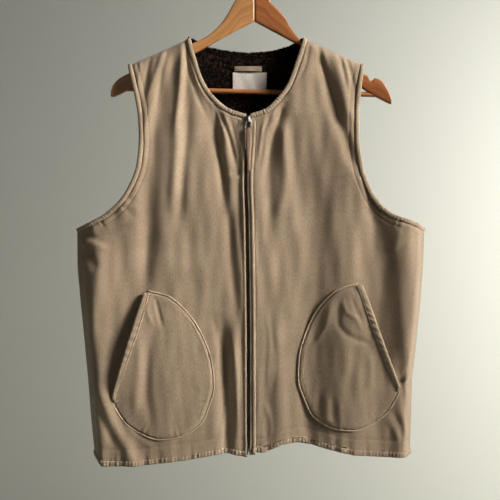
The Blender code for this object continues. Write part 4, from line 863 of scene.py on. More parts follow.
def body_edges(places):
    """The four edges of the body at every row, and how each leads into its cloth above its seam."""
    rows = smooth_table(BODY_ROWS, places)
    edges = {"places": places, "underarm": int(np.argmin(np.abs(places - UNDERARM_ROW))),
             "neck": int(np.argmin(np.abs(places - NECK_ROW)))}
    down = np.array([0.0, -1.0])
    for name, first, corner in (("side_right", 0, UNDERARM_ROW), ("zip_right", 2, NECK_ROW),
                                ("zip_left", 4, NECK_ROW), ("side_left", 6, UNDERARM_ROW)):
        above = places > corner
        edges[name] = rows[:, first:first + 2]
        edges[name][above] = edge_from(corner, first, places[above])
    for side in ("right", "left"):
        outer, inner = edges["side_" + side], edges["zip_" + side]
        along_shoulder = unit(inner[-1] - outer[-1])
        for name, edge, start, last in (("side_", outer, edges["underarm"], along_shoulder),
                                        ("zip_", inner, edges["neck"], -along_shoulder)):
            inward = np.zeros_like(edge)
            inward[start:] = edge_inward(edge[start:], down, last)
            edges[name + side + "_in"] = inward
    return edges


def to_hem(x, z, edges, face, trim):
    """Rows near the hem lowered onto the hem's own curve, the first one raised again by a trim."""
    hem = HEMS[face]
    share = np.clip(1.0 - edges["places"][:, None] / HEM_ROWS, 0.0, 1.0) ** 2
    base = np.interp(x, hem[[0, -1], 0], hem[[0, -1], 1])
    z = z + share * (np.interp(x, hem[:, 0], hem[:, 1]) - base)
    z[0] += trim
    z[1:4] = np.maximum(z[1:4], z[0] + np.array([0.8, 1.6, 2.4])[:, None])
    return z


def front_grid(side, columns, edges, trim, zip_inset, hem_trim):
    """x and z of one front, row by row from hem to shoulder, column by column from zip to side."""
    outer = edges["side_" + side] + edges["side_" + side + "_in"] * trim
    inner = edges["zip_" + side] + edges["zip_" + side + "_in"] * trim
    beside = slice(0, edges["neck"] + 1)
    inner[beside, 0] = front_edge(inner[beside, 1], side) + TO_SIDE[side] * zip_inset
    share = np.linspace(0.0, 1.0, columns + 1)
    across = share - 0.9 * np.sin(2.0 * math.pi * share) / (2.0 * math.pi)
    x, z = (inner[:, k:k + 1] * (1.0 - across) + outer[:, k:k + 1] * across for k in (0, 1))
    return x, to_hem(x, z, edges, "front", hem_trim)


def wear_marks(x, z, face):
    """0 to 1 where cloth rubs pale: near the seams of zip, hem and armholes, in uneven patches."""
    near = np.exp(-np.abs(x - zip_edge(z, None)) / 7.0) * (z < ZIP_TOP_Z) if face == "front" else np.zeros_like(x)
    near = np.maximum(near, 0.8 * np.exp(-np.maximum(above_hem(x, z, face) - HEM_WIDTH, 0.0) / 6.0))
    for side in ("right", "left"):
        near = np.maximum(near, 0.7 * np.exp(-beside_path(x, z, side_line(side))[0] / 8.0))
    patch = 0.55 + 0.45 * np.sin(x / 13.0 + np.sin(z / 21.0)) * np.sin(z / 17.0 + np.sin(x / 19.0))
    return 0.7 * near * patch


# %% Build the fronts
PANEL_TRIM = BINDING_WIDTH - BINDING_TUCK
HEM_TRIM = HEM_WIDTH - BINDING_TUCK
FRONT_COLUMNS, BACK_COLUMNS = 124, 140
UP, TO_RIGHT, TO_LEFT = (0.0, 0.0, 1.0), (-1.0, 0.0, 0.0), (1.0, 0.0, 0.0)
# Rows end short of both corner rows, since the rows above run on smoothly and would cross any nearer ones
CLOTH_ROWS = row_places([(0.0, 0.5, 13), (0.5, 5.72, 79), (6.0, 10.68, 51), (11.0, 15.0, 31)], 13)
edges = body_edges(CLOTH_ROWS)
panels, pieces = {}, {}


def closed_at_seams(points, edges, face, side_seams, shoulders):
    """A panel laid on the middle plane at its seams, and its directions, square to each seam there."""
    directions = grid_directions(points, face)
    under = slice(0, edges["underarm"] + 1)
    for rows, columns, outward in ([(under, column, way) for column, way in side_seams]
                                   + [(-1, columns, UP) for columns in shoulders]):
        points[rows, columns, 1] = OUTWARD[face] * SEAM_GAP / 2.0
        along = unit(np.gradient(points[rows, columns], axis=0))
        square = np.stack([-along[:, 2], np.zeros(len(along)), along[:, 0]], axis=-1)
        facing = np.sign(square @ np.array(outward))[:, None]
        directions[rows, columns] = unit(square * np.where(facing == 0.0, 1.0, facing))
    return points, directions


def front_face(side, columns, edges, trim, zip_inset, hem_trim, depth):
    """Points and outward directions of a front on a depth function."""
    x, z = front_grid(side, columns, edges, trim, zip_inset, hem_trim)
    points = standing(x, z, depth(x, z, "front"), "front")
    seams = [(-1, TO_RIGHT if side == "right" else TO_LEFT)]
    return closed_at_seams(points, edges, "front", seams, [slice(None)])


def cloth_panel(name, face, points, directions):
    """Panel of deck cloth behind its outer face, ribbed down the cloth and worn pale at its seams."""
    x, z = points[..., 0], points[..., 2]
    panels[name] = points, directions
    pieces[name] = shell_piece(name + "_panel", points, points - directions * SHELL_WALL, deck_cloth,
                               [name], np.stack([x, z], axis=-1), wear_marks(x, z, face))


for side in ("right", "left"):
    cloth_panel("front_" + side, "front",
                *front_face(side, FRONT_COLUMNS, edges, PANEL_TRIM, 0.0, HEM_TRIM, cloth_depth))

# %% [markdown]
# ## The back
# The back is one panel between both side seams and both shoulders. It is never seen in the photograph, so it
# gets the same kinds of folds as the front: long ones that fall from the shoulders and loose ones at the hem.


# %% Build the back
def back_fractions(columns):
    """Column places of the back: closer at the sides, with one column at each end of the neck."""
    right_end, left_end = NECK_FRACTIONS
    outer = columns // 4
    rise = np.linspace(0.0, 1.0, outer + 1) ** 1.4
    sweep = (1.0 - np.cos(np.linspace(0.0, math.pi, columns - 2 * outer + 1))) / 2.0
    middle = right_end + (left_end - right_end) * sweep
    return (np.concatenate([right_end * rise, middle[1:-1], 1.0 - (1.0 - left_end) * rise[::-1]]), outer,
            columns - outer)


def back_grid(columns, edges, trim, hem_trim):
    """x and z of the back, row by row from hem to neck, column by column from right to left."""
    right = edges["side_right"] + edges["side_right_in"] * trim
    left = edges["side_left"] + edges["side_left_in"] * trim
    fractions, start, end = back_fractions(columns)
    x = right[:, None, 0] * (1.0 - fractions) + left[:, None, 0] * fractions
    z = right[:, None, 1] * (1.0 - fractions) + left[:, None, 1] * fractions
    above = (edges["places"] - UNDERARM_ROW + 1.0) / (len(BODY_ROWS) - UNDERARM_ROW)
    arch = BACK_ROW_RISE * np.sin(math.pi * np.clip(above, 0.0, 1.0))
    z = z + arch[:, None] * (1.0 - (2.0 * fractions - 1.0) ** 2)
    outline = np.stack([np.interp(fractions, BACK_TOP[:, 0], BACK_TOP[:, c]) for c in (1, 2)], axis=-1)
    stretch = slice(start, end + 1)
    inward = np.zeros_like(outline)
    inward[stretch] = edge_inward(outline[stretch], unit(outline[0] - outline[start]),
                                  unit(outline[-1] - outline[end]))
    top = outline + inward * trim
    top[0], top[-1] = right[-1], left[-1]
    for first, last in ((0, start), (end, len(fractions) - 1)):
        share = np.linspace(0.0, 1.0, last - first + 1)[:, None]
        top[first:last + 1] = top[first] * (1.0 - share) + top[last] * share
    rise = smooth_step((edges["places"] - UNDERARM_ROW) / (len(BODY_ROWS) - 1 - UNDERARM_ROW))[:, None]
    x = x + rise * (top[None, :, 0] - x[-1:])
    z = z + rise * (top[None, :, 1] - z[-1:])
    return x, to_hem(x, z, edges, "back", hem_trim), outline, inward, start, end


def back_face(columns, edges, trim, hem_trim, depth):
    """Points and outward directions of the back on a depth function, and its neck's outline."""
    x, z, outline, inward, start, end = back_grid(columns, edges, trim, hem_trim)
    points, directions = closed_at_seams(standing(x, z, depth(x, z, "back"), "back"), edges, "back",
                                         [(0, TO_RIGHT), (-1, TO_LEFT)], [slice(0, start + 1), slice(end, None)])
    neck = slice(start, end + 1)
    return points, directions, outline[neck], inward[neck]


*back, neck_outline, neck_inward = back_face(BACK_COLUMNS, edges, PANEL_TRIM, HEM_TRIM, cloth_depth)
cloth_panel("back", "back", *back)

# %% [markdown]
# ## Rolled bindings
# Neck and armholes are edged with a narrow strip of the same cloth, rolled over the raw edge and stitched
# through. It is a round profile carried along the edge. Where the edge curves most, at the underarm and beside
# the zip, the strip is tighter than the panel, and both pucker: the profile swells and shrinks along the path.


# %% Binding profile along an edge
ROLL_HALF_THICK = 2.7


def edge_points(edge, inward, offset, face):
    """Points on the solid's form along an edge, moved into the cloth by an offset."""
    x, z = (edge + inward * offset).T
    return standing(x, z, broad_depth(x, z, face), face)


def roll(outer, inner, swell, closed):
    """Rings of a rolled strip between two lines: an ellipse as wide as they are apart, swelling as given."""
    middle = (outer + inner) / 2.0
    across = unit(inner - outer)
    along = np.roll(middle, -1, 0) - np.roll(middle, 1, 0) if closed else np.gradient(middle, axis=0)
    normal = unit(np.cross(along, across))
    out = np.where(normal[:, 1] * middle[:, 1] < 0.0, -1.0, 1.0)
    level = np.abs(middle[:, 1]) < 1.0
    lifted = normal[:, 2] + 0.2 * normal[:, 0] * middle[:, 0]
    out[level] = np.where(lifted[level] < 0.0, -1.0, 1.0)
    normal = normal * out[:, None]
    return swept(middle - normal * SHELL_WALL / 2.0, across, normal, profile(14, 0.85, 0.85),
                 (BINDING_WIDTH / 2.0 + 0.2) * (1.0 + 0.4 * swell), ROLL_HALF_THICK * (1.0 + swell))


def pucker(count, pitch, step, seed, strength):
    """Uneven swelling along a strip: two waves near the pitch times a slow random strength."""
    random = np.random.default_rng(seed)
    along = np.arange(count) * step
    wave = (np.sin(2.0 * math.pi * along / pitch + random.uniform(0, 6))
            + 0.7 * np.sin(2.0 * math.pi * along / (1.43 * pitch) + random.uniform(0, 6)))
    slow = 0.65 + 0.35 * np.sin(2.0 * math.pi * along / (9.0 * pitch) + random.uniform(0, 6))
    return 0.11 * wave * slow * strength


def resampled(lines, step):
    """Lines of points, all read again at even steps along the first one."""
    lengths = np.linalg.norm(np.diff(lines[0], axis=0), axis=1)
    gone = np.concatenate([[0.0], np.cumsum(lengths)])
    wanted = np.linspace(0.0, gone[-1], max(4, int(gone[-1] / step)))
    return [np.stack([np.interp(wanted, gone, line[:, k]) for k in range(3)], axis=-1) for line in lines]


def along_uv(rings):
    """UV of a strip's rings in millimetres: across the strip, then along it, so that ribs follow it."""
    rings = np.asarray(rings)
    step = np.linalg.norm(np.diff(rings[:, 0], axis=0, prepend=rings[:1, 0]), axis=1)
    girth = np.arange(rings.shape[1]) * 1.4
    return np.stack(np.broadcast_arrays(np.cumsum(step)[:, None], girth[None]), axis=-1).reshape(-1, 2)


# %% Armhole and neck bindings
BINDING_STEP = 0.9
fine = body_edges(np.unique(np.concatenate([np.linspace(0.0, SHOULDER_ROW, 641), CLOTH_ROWS])))


def finished_edge(kind, side):
    """x and z along an edge of the fine rows above its corner, and the directions into the cloth there."""
    start = fine["underarm" if kind == "side_" else "neck"]
    return fine[kind + side][start:], fine[kind + side + "_in"][start:]


def binding(key, name, node, lines, closed, pitch, seed, strength):
    """Rolled strip between two lines as a piece, its pucker crests paler than its pinched places: partly rubbing,
    partly a painted highlight.
    """
    swell = pucker(len(lines[0]), pitch, BINDING_STEP, seed, strength)
    rings = roll(*lines, swell, closed)
    # Paler where the strip swells: rubbing, and a painted highlight on the crests of the puckers
    wear_and_highlight = np.repeat(np.clip(0.3 + 3.0 * swell, 0.0, 1.0), rings.shape[1])
    pieces[key] = make_piece(name, tube(rings, closed), binding_cloth, [node], uv=along_uv(rings),
                             marks={"wear_and_highlight": wear_and_highlight})
    print(f"{node}: {round(len(lines[0]) * BINDING_STEP)} mm long")


binding_lines = {}
for side in ("right", "left"):
    edge, inward = finished_edge("side_", side)
    lines = []
    for offset in (0.0, BINDING_WIDTH):
        front, back = (edge_points(edge, inward, offset, face) for face in ("front", "back"))
        loop = np.concatenate([front, back[::-1][1:-1]])
        loop[[0, len(front) - 1], 1] = 0.0
        lines.append(np.concatenate([loop, loop[:1]]))
    binding_lines[side] = [line[:-1] for line in resampled(lines, BINDING_STEP)]
    tighter_below = 0.2 + 1.5 * smooth_step((-360.0 - binding_lines[side][0][:, 2]) / 50.0)
    binding("armhole_" + side, "armhole_binding_" + side + "_roll", "armhole_binding_" + side,
            binding_lines[side], True, 3.6, 55 if side == "right" else 54, tighter_below)

neck_lines = []
for offset in (0.0, BINDING_WIDTH):
    right, left = (edge_points(*finished_edge("zip_", side), offset, "front") for side in ("right", "left"))
    behind = edge_points(neck_outline, neck_inward, offset, "back")
    behind[[0, -1], 1] = 0.0
    neck_lines.append(np.concatenate([right[:-1], behind, left[::-1][1:]]))
neck_lines = resampled(neck_lines, BINDING_STEP)
count = np.arange(len(neck_lines[0]))
from_zip = np.minimum(count, count[::-1]) * BINDING_STEP
binding("neck", "neck_binding_roll", "neck_binding", neck_lines, False, 4.0, 61,
        0.2 + 1.6 * smooth_step((80.0 - from_zip) / 40.0))

# %% [markdown]
# ## The gathered hem
# The hem is finished with a strip that was stretched while it was sewn, so it pulls the edge into about a
# hundred small puckers across the front. Each pucker is a round lobe of the strip between two stitches. The strip is
# a soft rectangle carried round the whole hem, and its height, thickness and lean change at every lobe.

# %% Hem binding
HEM_STEP, HEM_SIDES, LOBE = 1.35, 12, 5.4
across_hem = {"front_right": slice(None), "back": slice(1, -1), "front_left": slice(None, None, -1)}
hem_top, hem_out = (np.concatenate([panels[name][k][0][part] for name, part in across_hem.items()]) for k in (0, 1))
hem_top, hem_out = resampled([hem_top, unit(hem_out * np.array([1.0, 1.0, 0.0]))], HEM_STEP)
hem_out = unit(hem_out)
count = len(hem_top)
random = np.random.default_rng(71)
phase = 2.0 * math.pi * np.cumsum(HEM_STEP / random.normal(LOBE, 0.35, count).clip(4.2, 7.0))
strong = 0.75 + 0.25 * np.sin(np.arange(count) / 23.0 + 1.3) * np.sin(np.arange(count) / 61.0)
lobe = np.abs(np.sin(phase / 2.0)) ** 0.8 * strong
high, deep = profile(HEM_SIDES, 0.6, 0.7, math.pi / HEM_SIDES)
high = high[None, :, None] * (HEM_WIDTH / 2.0 + 0.3)
thick = (1.5 + 2.0 * lobe)[:, None, None]
lean = (0.5 * np.sin(phase / 2.0 + 0.8))[:, None, None]
upward = np.array([0.0, 0.0, 1.0])
sideways = unit(np.cross(hem_out, upward))
middle = hem_top - upward * (HEM_WIDTH / 2.0 - BINDING_TUCK) - hem_out * SHELL_WALL / 2.0
rings = (middle[:, None] + upward * high * (1.0 - 0.009 * lobe)[:, None, None]
         + hem_out[:, None] * deep[None, :, None] * thick + sideways[:, None] * lean * high / 4.0)
# Paler on each lobe's crest: rubbing, and a painted highlight on the puckers
pieces["hem"] = make_piece("hem_binding_gathered", tube(rings), binding_cloth, ["hem_binding"],
                           uv=along_uv(rings), marks={"wear_and_highlight": np.repeat(0.4 * lobe, HEM_SIDES)})
print("hem:", int(phase[-1] / (2.0 * math.pi)), "puckers round", round(count * HEM_STEP), "mm")

# %% [markdown]
# ## The pile lining
# Inside, the vest is lined with dark curly wool pile. Real pile is millions of fibres. Here a thin backing
# follows the inside of each panel, a lumpy grid over it stands for the mass of curls, and where the pile shows, at
# the back neck, in the armholes and under the hem, short bent locks are set on it. Every lock is the same small
# tapered horn with a few faces, bent, turned and scaled by seeded random numbers.

# %% Lining backing with a curly face
PILE_DEPTH, BACKING = 4.0, 1.0
LINING_TRIM, LINING_ZIP_INSET, LINING_HEM = 10.5, 12.0, HEM_WIDTH + 1.3
LINING_COLUMNS, LINING_BACK_COLUMNS = 50, 96
random_lumps = np.random.default_rng(81)
LUMP_WAVES = [(random_lumps.uniform(5.0, 11.0), random_lumps.uniform(0.0, math.pi), random_lumps.uniform(0.0, 6.3))
              for _ in range(9)]


def lumps(x, z):
    """Curly unevenness between 0 and 1: nine short waves in all directions, folded at zero."""
    total = np.zeros(np.shape(x))
    for length, turn, phase in LUMP_WAVES:
        total += np.sin(2.0 * math.pi * (x * math.cos(turn) + z * math.sin(turn)) / length + phase)
    return np.clip(np.abs(total) / 5.0, 0.0, 1.0)


def lining_walls(points, directions, face):
    """Outer and inner face of the pile: just inside the cloth's deepest fold, and a lumpy face in from it."""
    x, z = points[..., 0], points[..., 2]
    room = np.maximum(fold_fade(x, z)[0], 0.2 if face == "front" else 0.0)
    near = -(SHELL_WALL + LINING_CLEAR + RELIEF_LIMITS[face] * room)[..., None]
    deep = (BACKING + (PILE_DEPTH - BACKING) * (0.35 + 0.5 * lumps(x, z)))[..., None]
    return points + directions * near, points + directions * (near - deep)


LINING_ROWS = row_places([(0.0, 5.62, 60), (6.0, 10.55, 40), (11.0, 15.0, 34)], 8)
lining_edges = body_edges(LINING_ROWS)
lining_faces = {}
for name in ("front_right", "front_left", "back"):
    face = name.split("_")[0]
    points, directions = (
        back_face(LINING_BACK_COLUMNS, lining_edges, LINING_TRIM, LINING_HEM, bare_depth)[:2] if face == "back" else
        front_face(name[6:], LINING_COLUMNS, lining_edges, LINING_TRIM, LINING_ZIP_INSET, LINING_HEM, bare_depth))
    outer, inner = lining_walls(points, directions, face)
    lining_faces[name] = outer, inner, directions
    pieces["lining_" + name] = shell_piece("lining_" + name + "_pile", outer, inner, pile_wool,
                                           ["lining_" + name])


# %% Locks of wool where the pile shows
def locks(roots, directions, seed, length=4.2, width=0.95):
    """Small bent horns: three-sided rings at three heights and a tip, leaning a random way off their direction."""
    random = np.random.default_rng(seed)
    count = len(roots)
    side = unit(np.cross(directions, unit(random.normal(size=(count, 3)))))
    other = np.cross(directions, side)
    turn = random.uniform(0.0, 2.0 * math.pi, count)[:, None]
    bend = side * np.cos(turn) + other * np.sin(turn)
    long = length * random.uniform(0.7, 1.15, count)[:, None]
    rings = []
    for share, thick in ((0.0, 1.0), (0.4, 1.05), (0.8, 0.7)):
        centre = roots + directions * long * (share - 0.35 * share ** 2) + bend * long * 0.7 * share ** 2
        for corner in range(3):
            angle = 2.0 * math.pi * corner / 3.0
            rings.append(centre + (side * math.cos(angle) + other * math.sin(angle)) * width * thick)
    tip = roots + directions * long * 0.55 + bend * long * 0.95
    points = np.stack([*rings, tip], axis=1).reshape(-1, 3)
    base = (np.arange(count) * 10)[:, None, None]
    ring = np.array([[k, (k + 1) % 3, (k + 1) % 3 + 3, k + 3] for k in range(3)])
    quads = (base + np.concatenate([ring, ring + 3])[None]).reshape(-1, 4)
    tips = (base + np.array([[6, 7, 9], [7, 8, 9], [8, 6, 9], [2, 1, 0]])[None]).reshape(-1, 3)
    return points, quads.tolist() + tips.tolist()


def scattered(name, wanted, seed, keep):
    """Random places on a lining's inner face where keep(x, z) allows, with directions into the vest."""
    outer, inner, directions = lining_faces[name]
    random = np.random.default_rng(seed)
    row = random.uniform(0.0, outer.shape[0] - 1.001, wanted * 6)
    column = random.uniform(0.0, outer.shape[1] - 1.001, wanted * 6)
    r, c = row.astype(int), column.astype(int)
    f, g = (row - r)[:, None], (column - c)[:, None]

    def read(grid):
        return (grid[r, c] * (1 - f) * (1 - g) + grid[r + 1, c] * f * (1 - g) + grid[r, c + 1] * (1 - f) * g
                + grid[r + 1, c + 1] * f * g)

    middle = read(outer) * 0.65 + read(inner) * 0.35
    chosen = np.flatnonzero(keep(middle[:, 0], middle[:, 2]))[:wanted]
    return middle[chosen], -unit(read(directions)[chosen])


def near_neck(x, z):
    """True where the back's pile shows below the shoulders, away from the label and the loop on it."""
    on_label = (np.abs(x + 11.0) < 29.0) & (z < -171.0) & (z > -224.0)
    return (z > ZIP_TOP_Z) & (np.abs(x + 12.0) < 90.0) & ~on_label & (z < shoulder_height(x) - 9.0)


def near_edges(x, z):
    """True in a band beside the armholes or the hem."""
    band = np.minimum(beside_path(x, z, side_line("right"))[0], beside_path(x, z, side_line("left"))[0])
    return (band < 26.0) | (z < -772.0)


for name, panel, wanted, seed, keep in (("back_neck", "back", 5200, 91, near_neck),
                                        ("back_edges", "back", 2900, 92, near_edges),
                                        ("front_right", "front_right", 1500, 93, near_edges),
                                        ("front_left", "front_left", 1500, 94, near_edges)):
    make_piece("pile_locks_" + name, locks(*scattered(panel, wanted, seed, keep), seed), pile_wool)

# %% Wool rolled over the back neck's edge
EDGE_LOCKS = 3000
random = np.random.default_rng(97)
share = random.uniform(0.03, 0.97, EDGE_LOCKS)
edge_x, edge_z = (np.interp(share, np.linspace(0.0, 1.0, len(neck_outline)), neck_outline[:, k]) for k in (0, 1))
below = random.uniform(0.0, 11.0, EDGE_LOCKS)
tilt = np.clip(1.0 - below / 4.0, 0.0, 1.0) * math.pi / 2.0
edge_y = form_depth(edge_x, edge_z - 3.0, "back") - SHELL_WALL / 2.0
lowered = 2.6 * (1.0 - np.sin(tilt)) + np.maximum(below - 4.0, 0.0)
roots = np.stack([edge_x, edge_y - 3.1 * np.cos(tilt), edge_z - lowered], axis=-1)
leaning = unit(np.stack([np.zeros(EDGE_LOCKS), -np.cos(tilt), np.sin(tilt)], axis=-1))
make_piece("pile_locks_neck_edge", locks(roots, leaning, 98, 4.2, 1.0), pile_wool)

# %% Wool that stands out beside the armholes' back edge
FRINGE_LOCKS = 620
fringe = []
for side, seed in (("right", 101), ("left", 102)):
    edge_line, cloth_line = binding_lines[side]
    behind = edge_line[:, 1] > 2.0
    random = np.random.default_rng(seed)
    chosen = random.integers(0, int(behind.sum()), FRINGE_LOCKS)
    outward = unit(edge_line - cloth_line)[behind][chosen]
    roots = (edge_line * 0.55 + cloth_line * 0.45)[behind][chosen]
    roots[:, 1] -= random.uniform(2.6, 4.6, FRINGE_LOCKS)
    fringe.append(locks(roots, unit(outward + np.array([0.0, -0.5, 0.0])), seed, 4.6, 1.0))
make_piece("pile_locks_armholes", joined(fringe), pile_wool)

# %% [markdown]
# ## Patch pockets
# Each front has a big round pocket with a straight slanted mouth. The patch is a grid between the mouth and the round
# edge, standing off the front most at the middle of its mouth, where hands have stretched it. It is
# edged with a thin cord covered in cloth, and the mouth has a folded welt sewn down beside it.

# %% Pocket shapes
POCKETS = {
    # side: mouth middle x, mouth middle z, lean of the mouth's lower end outward in degrees, scale
    "right": (-200.0, -615.5, 17.2, 1.0),
    "left": (192.5, -600.5, 20.7, 0.985),
}
POCKET_EDGE = np.array([
    # along the mouth, away from the mouth
    (-88.0, 4.0), (-90.0, 34.0), (-76.0, 70.0), (-44.0, 108.0), (-8.0, 133.0), (34.0, 147.0),
    (70.0, 146.0), (98.0, 132.0), (116.0, 108.0), (125.0, 78.0), (119.0, 42.0), (104.0, 18.0), (90.0, 4.0),
])
MOUTH_HALF, POCKET_GAPE, POCKET_SEAT, POCKET_WALL = 87.0, 10.5, 1.6, 1.8
WELT_WIDTH, CORD_RADIUS = 11.0, 1.3
PATCH_ALONG, PATCH_ACROSS, PATCH_START = 121, 66, 0.012
POCKET_CREASED = 0.75
POCKET_CREASES = [
    ([(-158, -536), (-152, -562), (-145, -589)], 3.5, -2.4),
    ([(-166, -539), (-168, -562), (-159, -588)], 4.5, 1.6),
    ([(-164, -584), (-168, -630), (-171, -686), (-162, -752)], 8.0, -3.4),
    ([(-177, -590), (-183, -648), (-188, -725)], 8.0, 2.6),
    ([(-140, -640), (-136, -690), (-140, -735)], 10.0, 1.2),
    ([(-96, -622), (-86, -624)], 3.5, -0.9),
    ([(-98, -640), (-84, -640)], 4.0, 0.9),
    ([(-100, -686), (-88, -685)], 3.5, -0.9),
    ([(129, -540), (127, -578), (141, -600), (168, -611), (178, -624)], 5.0, -2.6),
    ([(132, -542), (138, -562), (153, -574), (160, -596)], 4.0, 2.0),
    ([(146, -540), (151, -556), (162, -580)], 3.5, -1.4),
    ([(149, -598), (151, -639), (144, -676), (146, -725)], 8.5, -3.0),
    ([(174, -624), (176, -657), (171, -690)], 6.5, 1.9),
    ([(110, -690), (110, -745)], 5.5, 1.8),
    ([(97, -684), (99, -744)], 5.5, -1.7),
    ([(129, -700), (130, -744)], 4.5, 1.4),
    ([(119, -694), (121, -745)], 4.0, -1.2),
    ([(119, -548), (112, -570), (107, -589), (85, -622)], 4.5, 1.6),
    ([(104, -560), (96, -590), (82, -615)], 5.0, -1.2),
]


def pocket_frame(side):
    """Mouth middle and the pocket's two directions: down its mouth, and away from it."""
    x, z, lean, scale = POCKETS[side]
    angle = math.radians(lean)
    down = np.array([TO_SIDE[side] * math.sin(angle), -math.cos(angle)])
    away = np.array([-TO_SIDE[side] * math.cos(angle), -math.sin(angle)])
    return np.array([x, z]), down, away, scale


def pocket_edge(side, share):
    """x and z along a pocket's round edge, from the top of the mouth to its lower end."""
    middle, down, away, scale = pocket_frame(side)
    flat = smooth_table(POCKET_EDGE, share * (len(POCKET_EDGE) - 1)) * scale
    return middle + flat[:, :1] * down + flat[:, 1:] * away


def mouth_line(side, share, scale=1.0):
    """x and z along the middle of a pocket's mouth."""
    middle, down, _, _ = pocket_frame(side)
    return middle + ((2.0 * share - 1.0) * MOUTH_HALF * scale)[:, None] * down


def off_front(flat, lift):
    """Points standing off the front's broad form by a lift along its outward direction, and that direction."""
    return on_surface(broad_depth, flat[..., 0], flat[..., 1], "front", lift, 2.0)


def pocket_patch(side, share, across):
    """Points of the patch's outer face: straight from mouth to round edge, domed, creased, lower at its rim."""
    scale = pocket_frame(side)[3]
    across = across[:, None]
    flat = (mouth_line(side, share, scale)[None] * (1.0 - across[..., None])
            + pocket_edge(side, share)[None] * across[..., None])
    x, z = flat[..., 0], flat[..., 1]
    to_edge = beside_path(x, z, pocket_edge(side, np.linspace(0.0, 1.0, 60)))[0]
    settled = smooth_step(to_edge / 9.0)
    seam = pocket_edge(side, np.linspace(0.0, 1.0, 80))
    relief = settled * (POCKET_CREASED * crease_height(x, z, POCKET_CREASES) + 0.5 * streaks(x, z, 7))
    relief += gathers(x, z, seam, 8.0, 8.0, 1.5, 17, (0.4, 0.97))
    relief += gathers(x, z, seam, 5.5, 5.0, 1.1, 19, (-0.1, 1.1))
    relief += 0.9 * settled * (1.0 - across) ** 0.5 - 1.7 * (1.0 - smooth_step(to_edge / 3.2))
    points, _ = off_front(flat, POCKET_SEAT + POCKET_WALL + relief)
    points[..., 1] -= POCKET_GAPE * scale * np.sin(math.pi * share[None]) ** 0.8 * (1.0 - across) ** 1.6
    return points, flat


# %% Build the patches, cords and welts
def build_patch(side):
    """The patch, worn pale along its round edge and its mouth."""
    share = PATCH_START + (1.0 - 2.0 * PATCH_START) * np.linspace(0.0, 1.0, PATCH_ALONG)
    across = np.linspace(0.0, 1.0, PATCH_ACROSS)
    points, flat = pocket_patch(side, share, across)
    directions = grid_directions(points, "front")
    wear_and_highlight = np.maximum(0.5 * np.exp(-15.0 * (1.0 - across)), 0.6 * np.exp(-12.5 * across))
    pieces["pocket_" + side] = shell_piece(
        "pocket_" + side + "_patch", points, points - directions * (POCKET_WALL - 0.3), deck_cloth,
        ["pocket_" + side], flat, np.repeat(wear_and_highlight, PATCH_ALONG))
    panels["pocket_" + side] = points, directions


def build_cord(side):
    """The covered cord outside the patch's round edge, slightly uneven in height."""
    edge = pocket_edge(side, np.linspace(0.004, 0.996, 260))
    tangent = unit(np.gradient(edge, axis=0))
    outward = np.stack([-tangent[:, 1], tangent[:, 0]], axis=-1)
    if np.dot(outward[len(edge) // 2], pocket_frame(side)[2]) < 0.0:
        outward = -outward
    step = np.arange(len(edge))
    height = CORD_RADIUS + 0.12 * np.sin(step / 3.1) + 0.1 * np.sin(step / 7.7)
    centre, normal = off_front(edge + outward * 1.5, height)
    across = unit(np.cross(np.gradient(centre, axis=0), normal))
    rings = swept(centre, across, normal, profile(10), CORD_RADIUS, CORD_RADIUS)
    make_piece("pocket_cord_" + side + "_piping", tube(rings), binding_cloth, ["pocket_cord_" + side],
               uv=along_uv(rings), marks={"wear_and_highlight": np.full(rings[..., 0].size, 0.8)})
    print(f"pocket_cord_{side}: {round(np.linalg.norm(np.diff(centre, axis=0), axis=1).sum())} mm long")


def build_welt(side):
    """The folded welt: a humped strip from the mouth inward, with slanting ripples and a stitched groove."""
    share = 0.5 + 0.485 * np.linspace(-1.0, 1.0, 150)
    patch_width = np.linalg.norm(pocket_edge(side, share) - mouth_line(side, share), axis=1)
    wide = WELT_WIDTH / np.maximum(patch_width, 15.0)
    columns = np.linspace(0.0, 1.0, 14)[:, None]
    base, flat = pocket_patch(side, share, np.array([0.0, 0.05]))
    inward = base[1] - base[0]
    grid = base[0][None] + inward[None] * (columns[..., None] * wide[None, :, None] / 0.05)
    grid[0] -= unit(inward) * 0.8
    normal = off_front(flat[0], 0.0)[1]
    along = np.arange(len(share)) * 1.17
    slant = along[None] + 9.0 * columns
    patches = np.clip(0.45 + 0.75 * np.sin(slant / 31.0 - 0.9), 0.0, 1.0)
    ripple = 0.75 * np.sin(slant / 1.9 + np.sin(slant / 9.0)) * patches
    hump = 1.75 * (1.0 - (2.0 * columns - 1.0) ** 6) + ripple * np.sin(math.pi * columns)
    hump -= 1.1 * bell(columns - 0.74, 0.07)
    top = grid + normal[None] * (0.35 + hump)[..., None]
    uv = np.stack(np.broadcast_arrays(along[None], columns * WELT_WIDTH), axis=-1)
    pieces["welt_" + side] = shell_piece(
        "pocket_welt_" + side + "_fold", top, grid - normal[None] * 0.6, binding_cloth,
        ["pocket_welt_" + side], uv, np.broadcast_to(0.15 + 0.5 * np.exp(-columns * 6.0), (14, 150)))
    panels["welt_" + side] = top, normal


for side in ("right", "left"):
    build_patch(side)
    build_cord(side)
    build_welt(side)

# %% [markdown]
# ## Stitching
# Every seam of workwear is sewn down with thick thread. A stitch is a short spindle lying on the cloth, and a row
# of them follows a line. One helper lays spindles at even steps along a path and sinks them slightly, so they read
# as thread and not as beads.


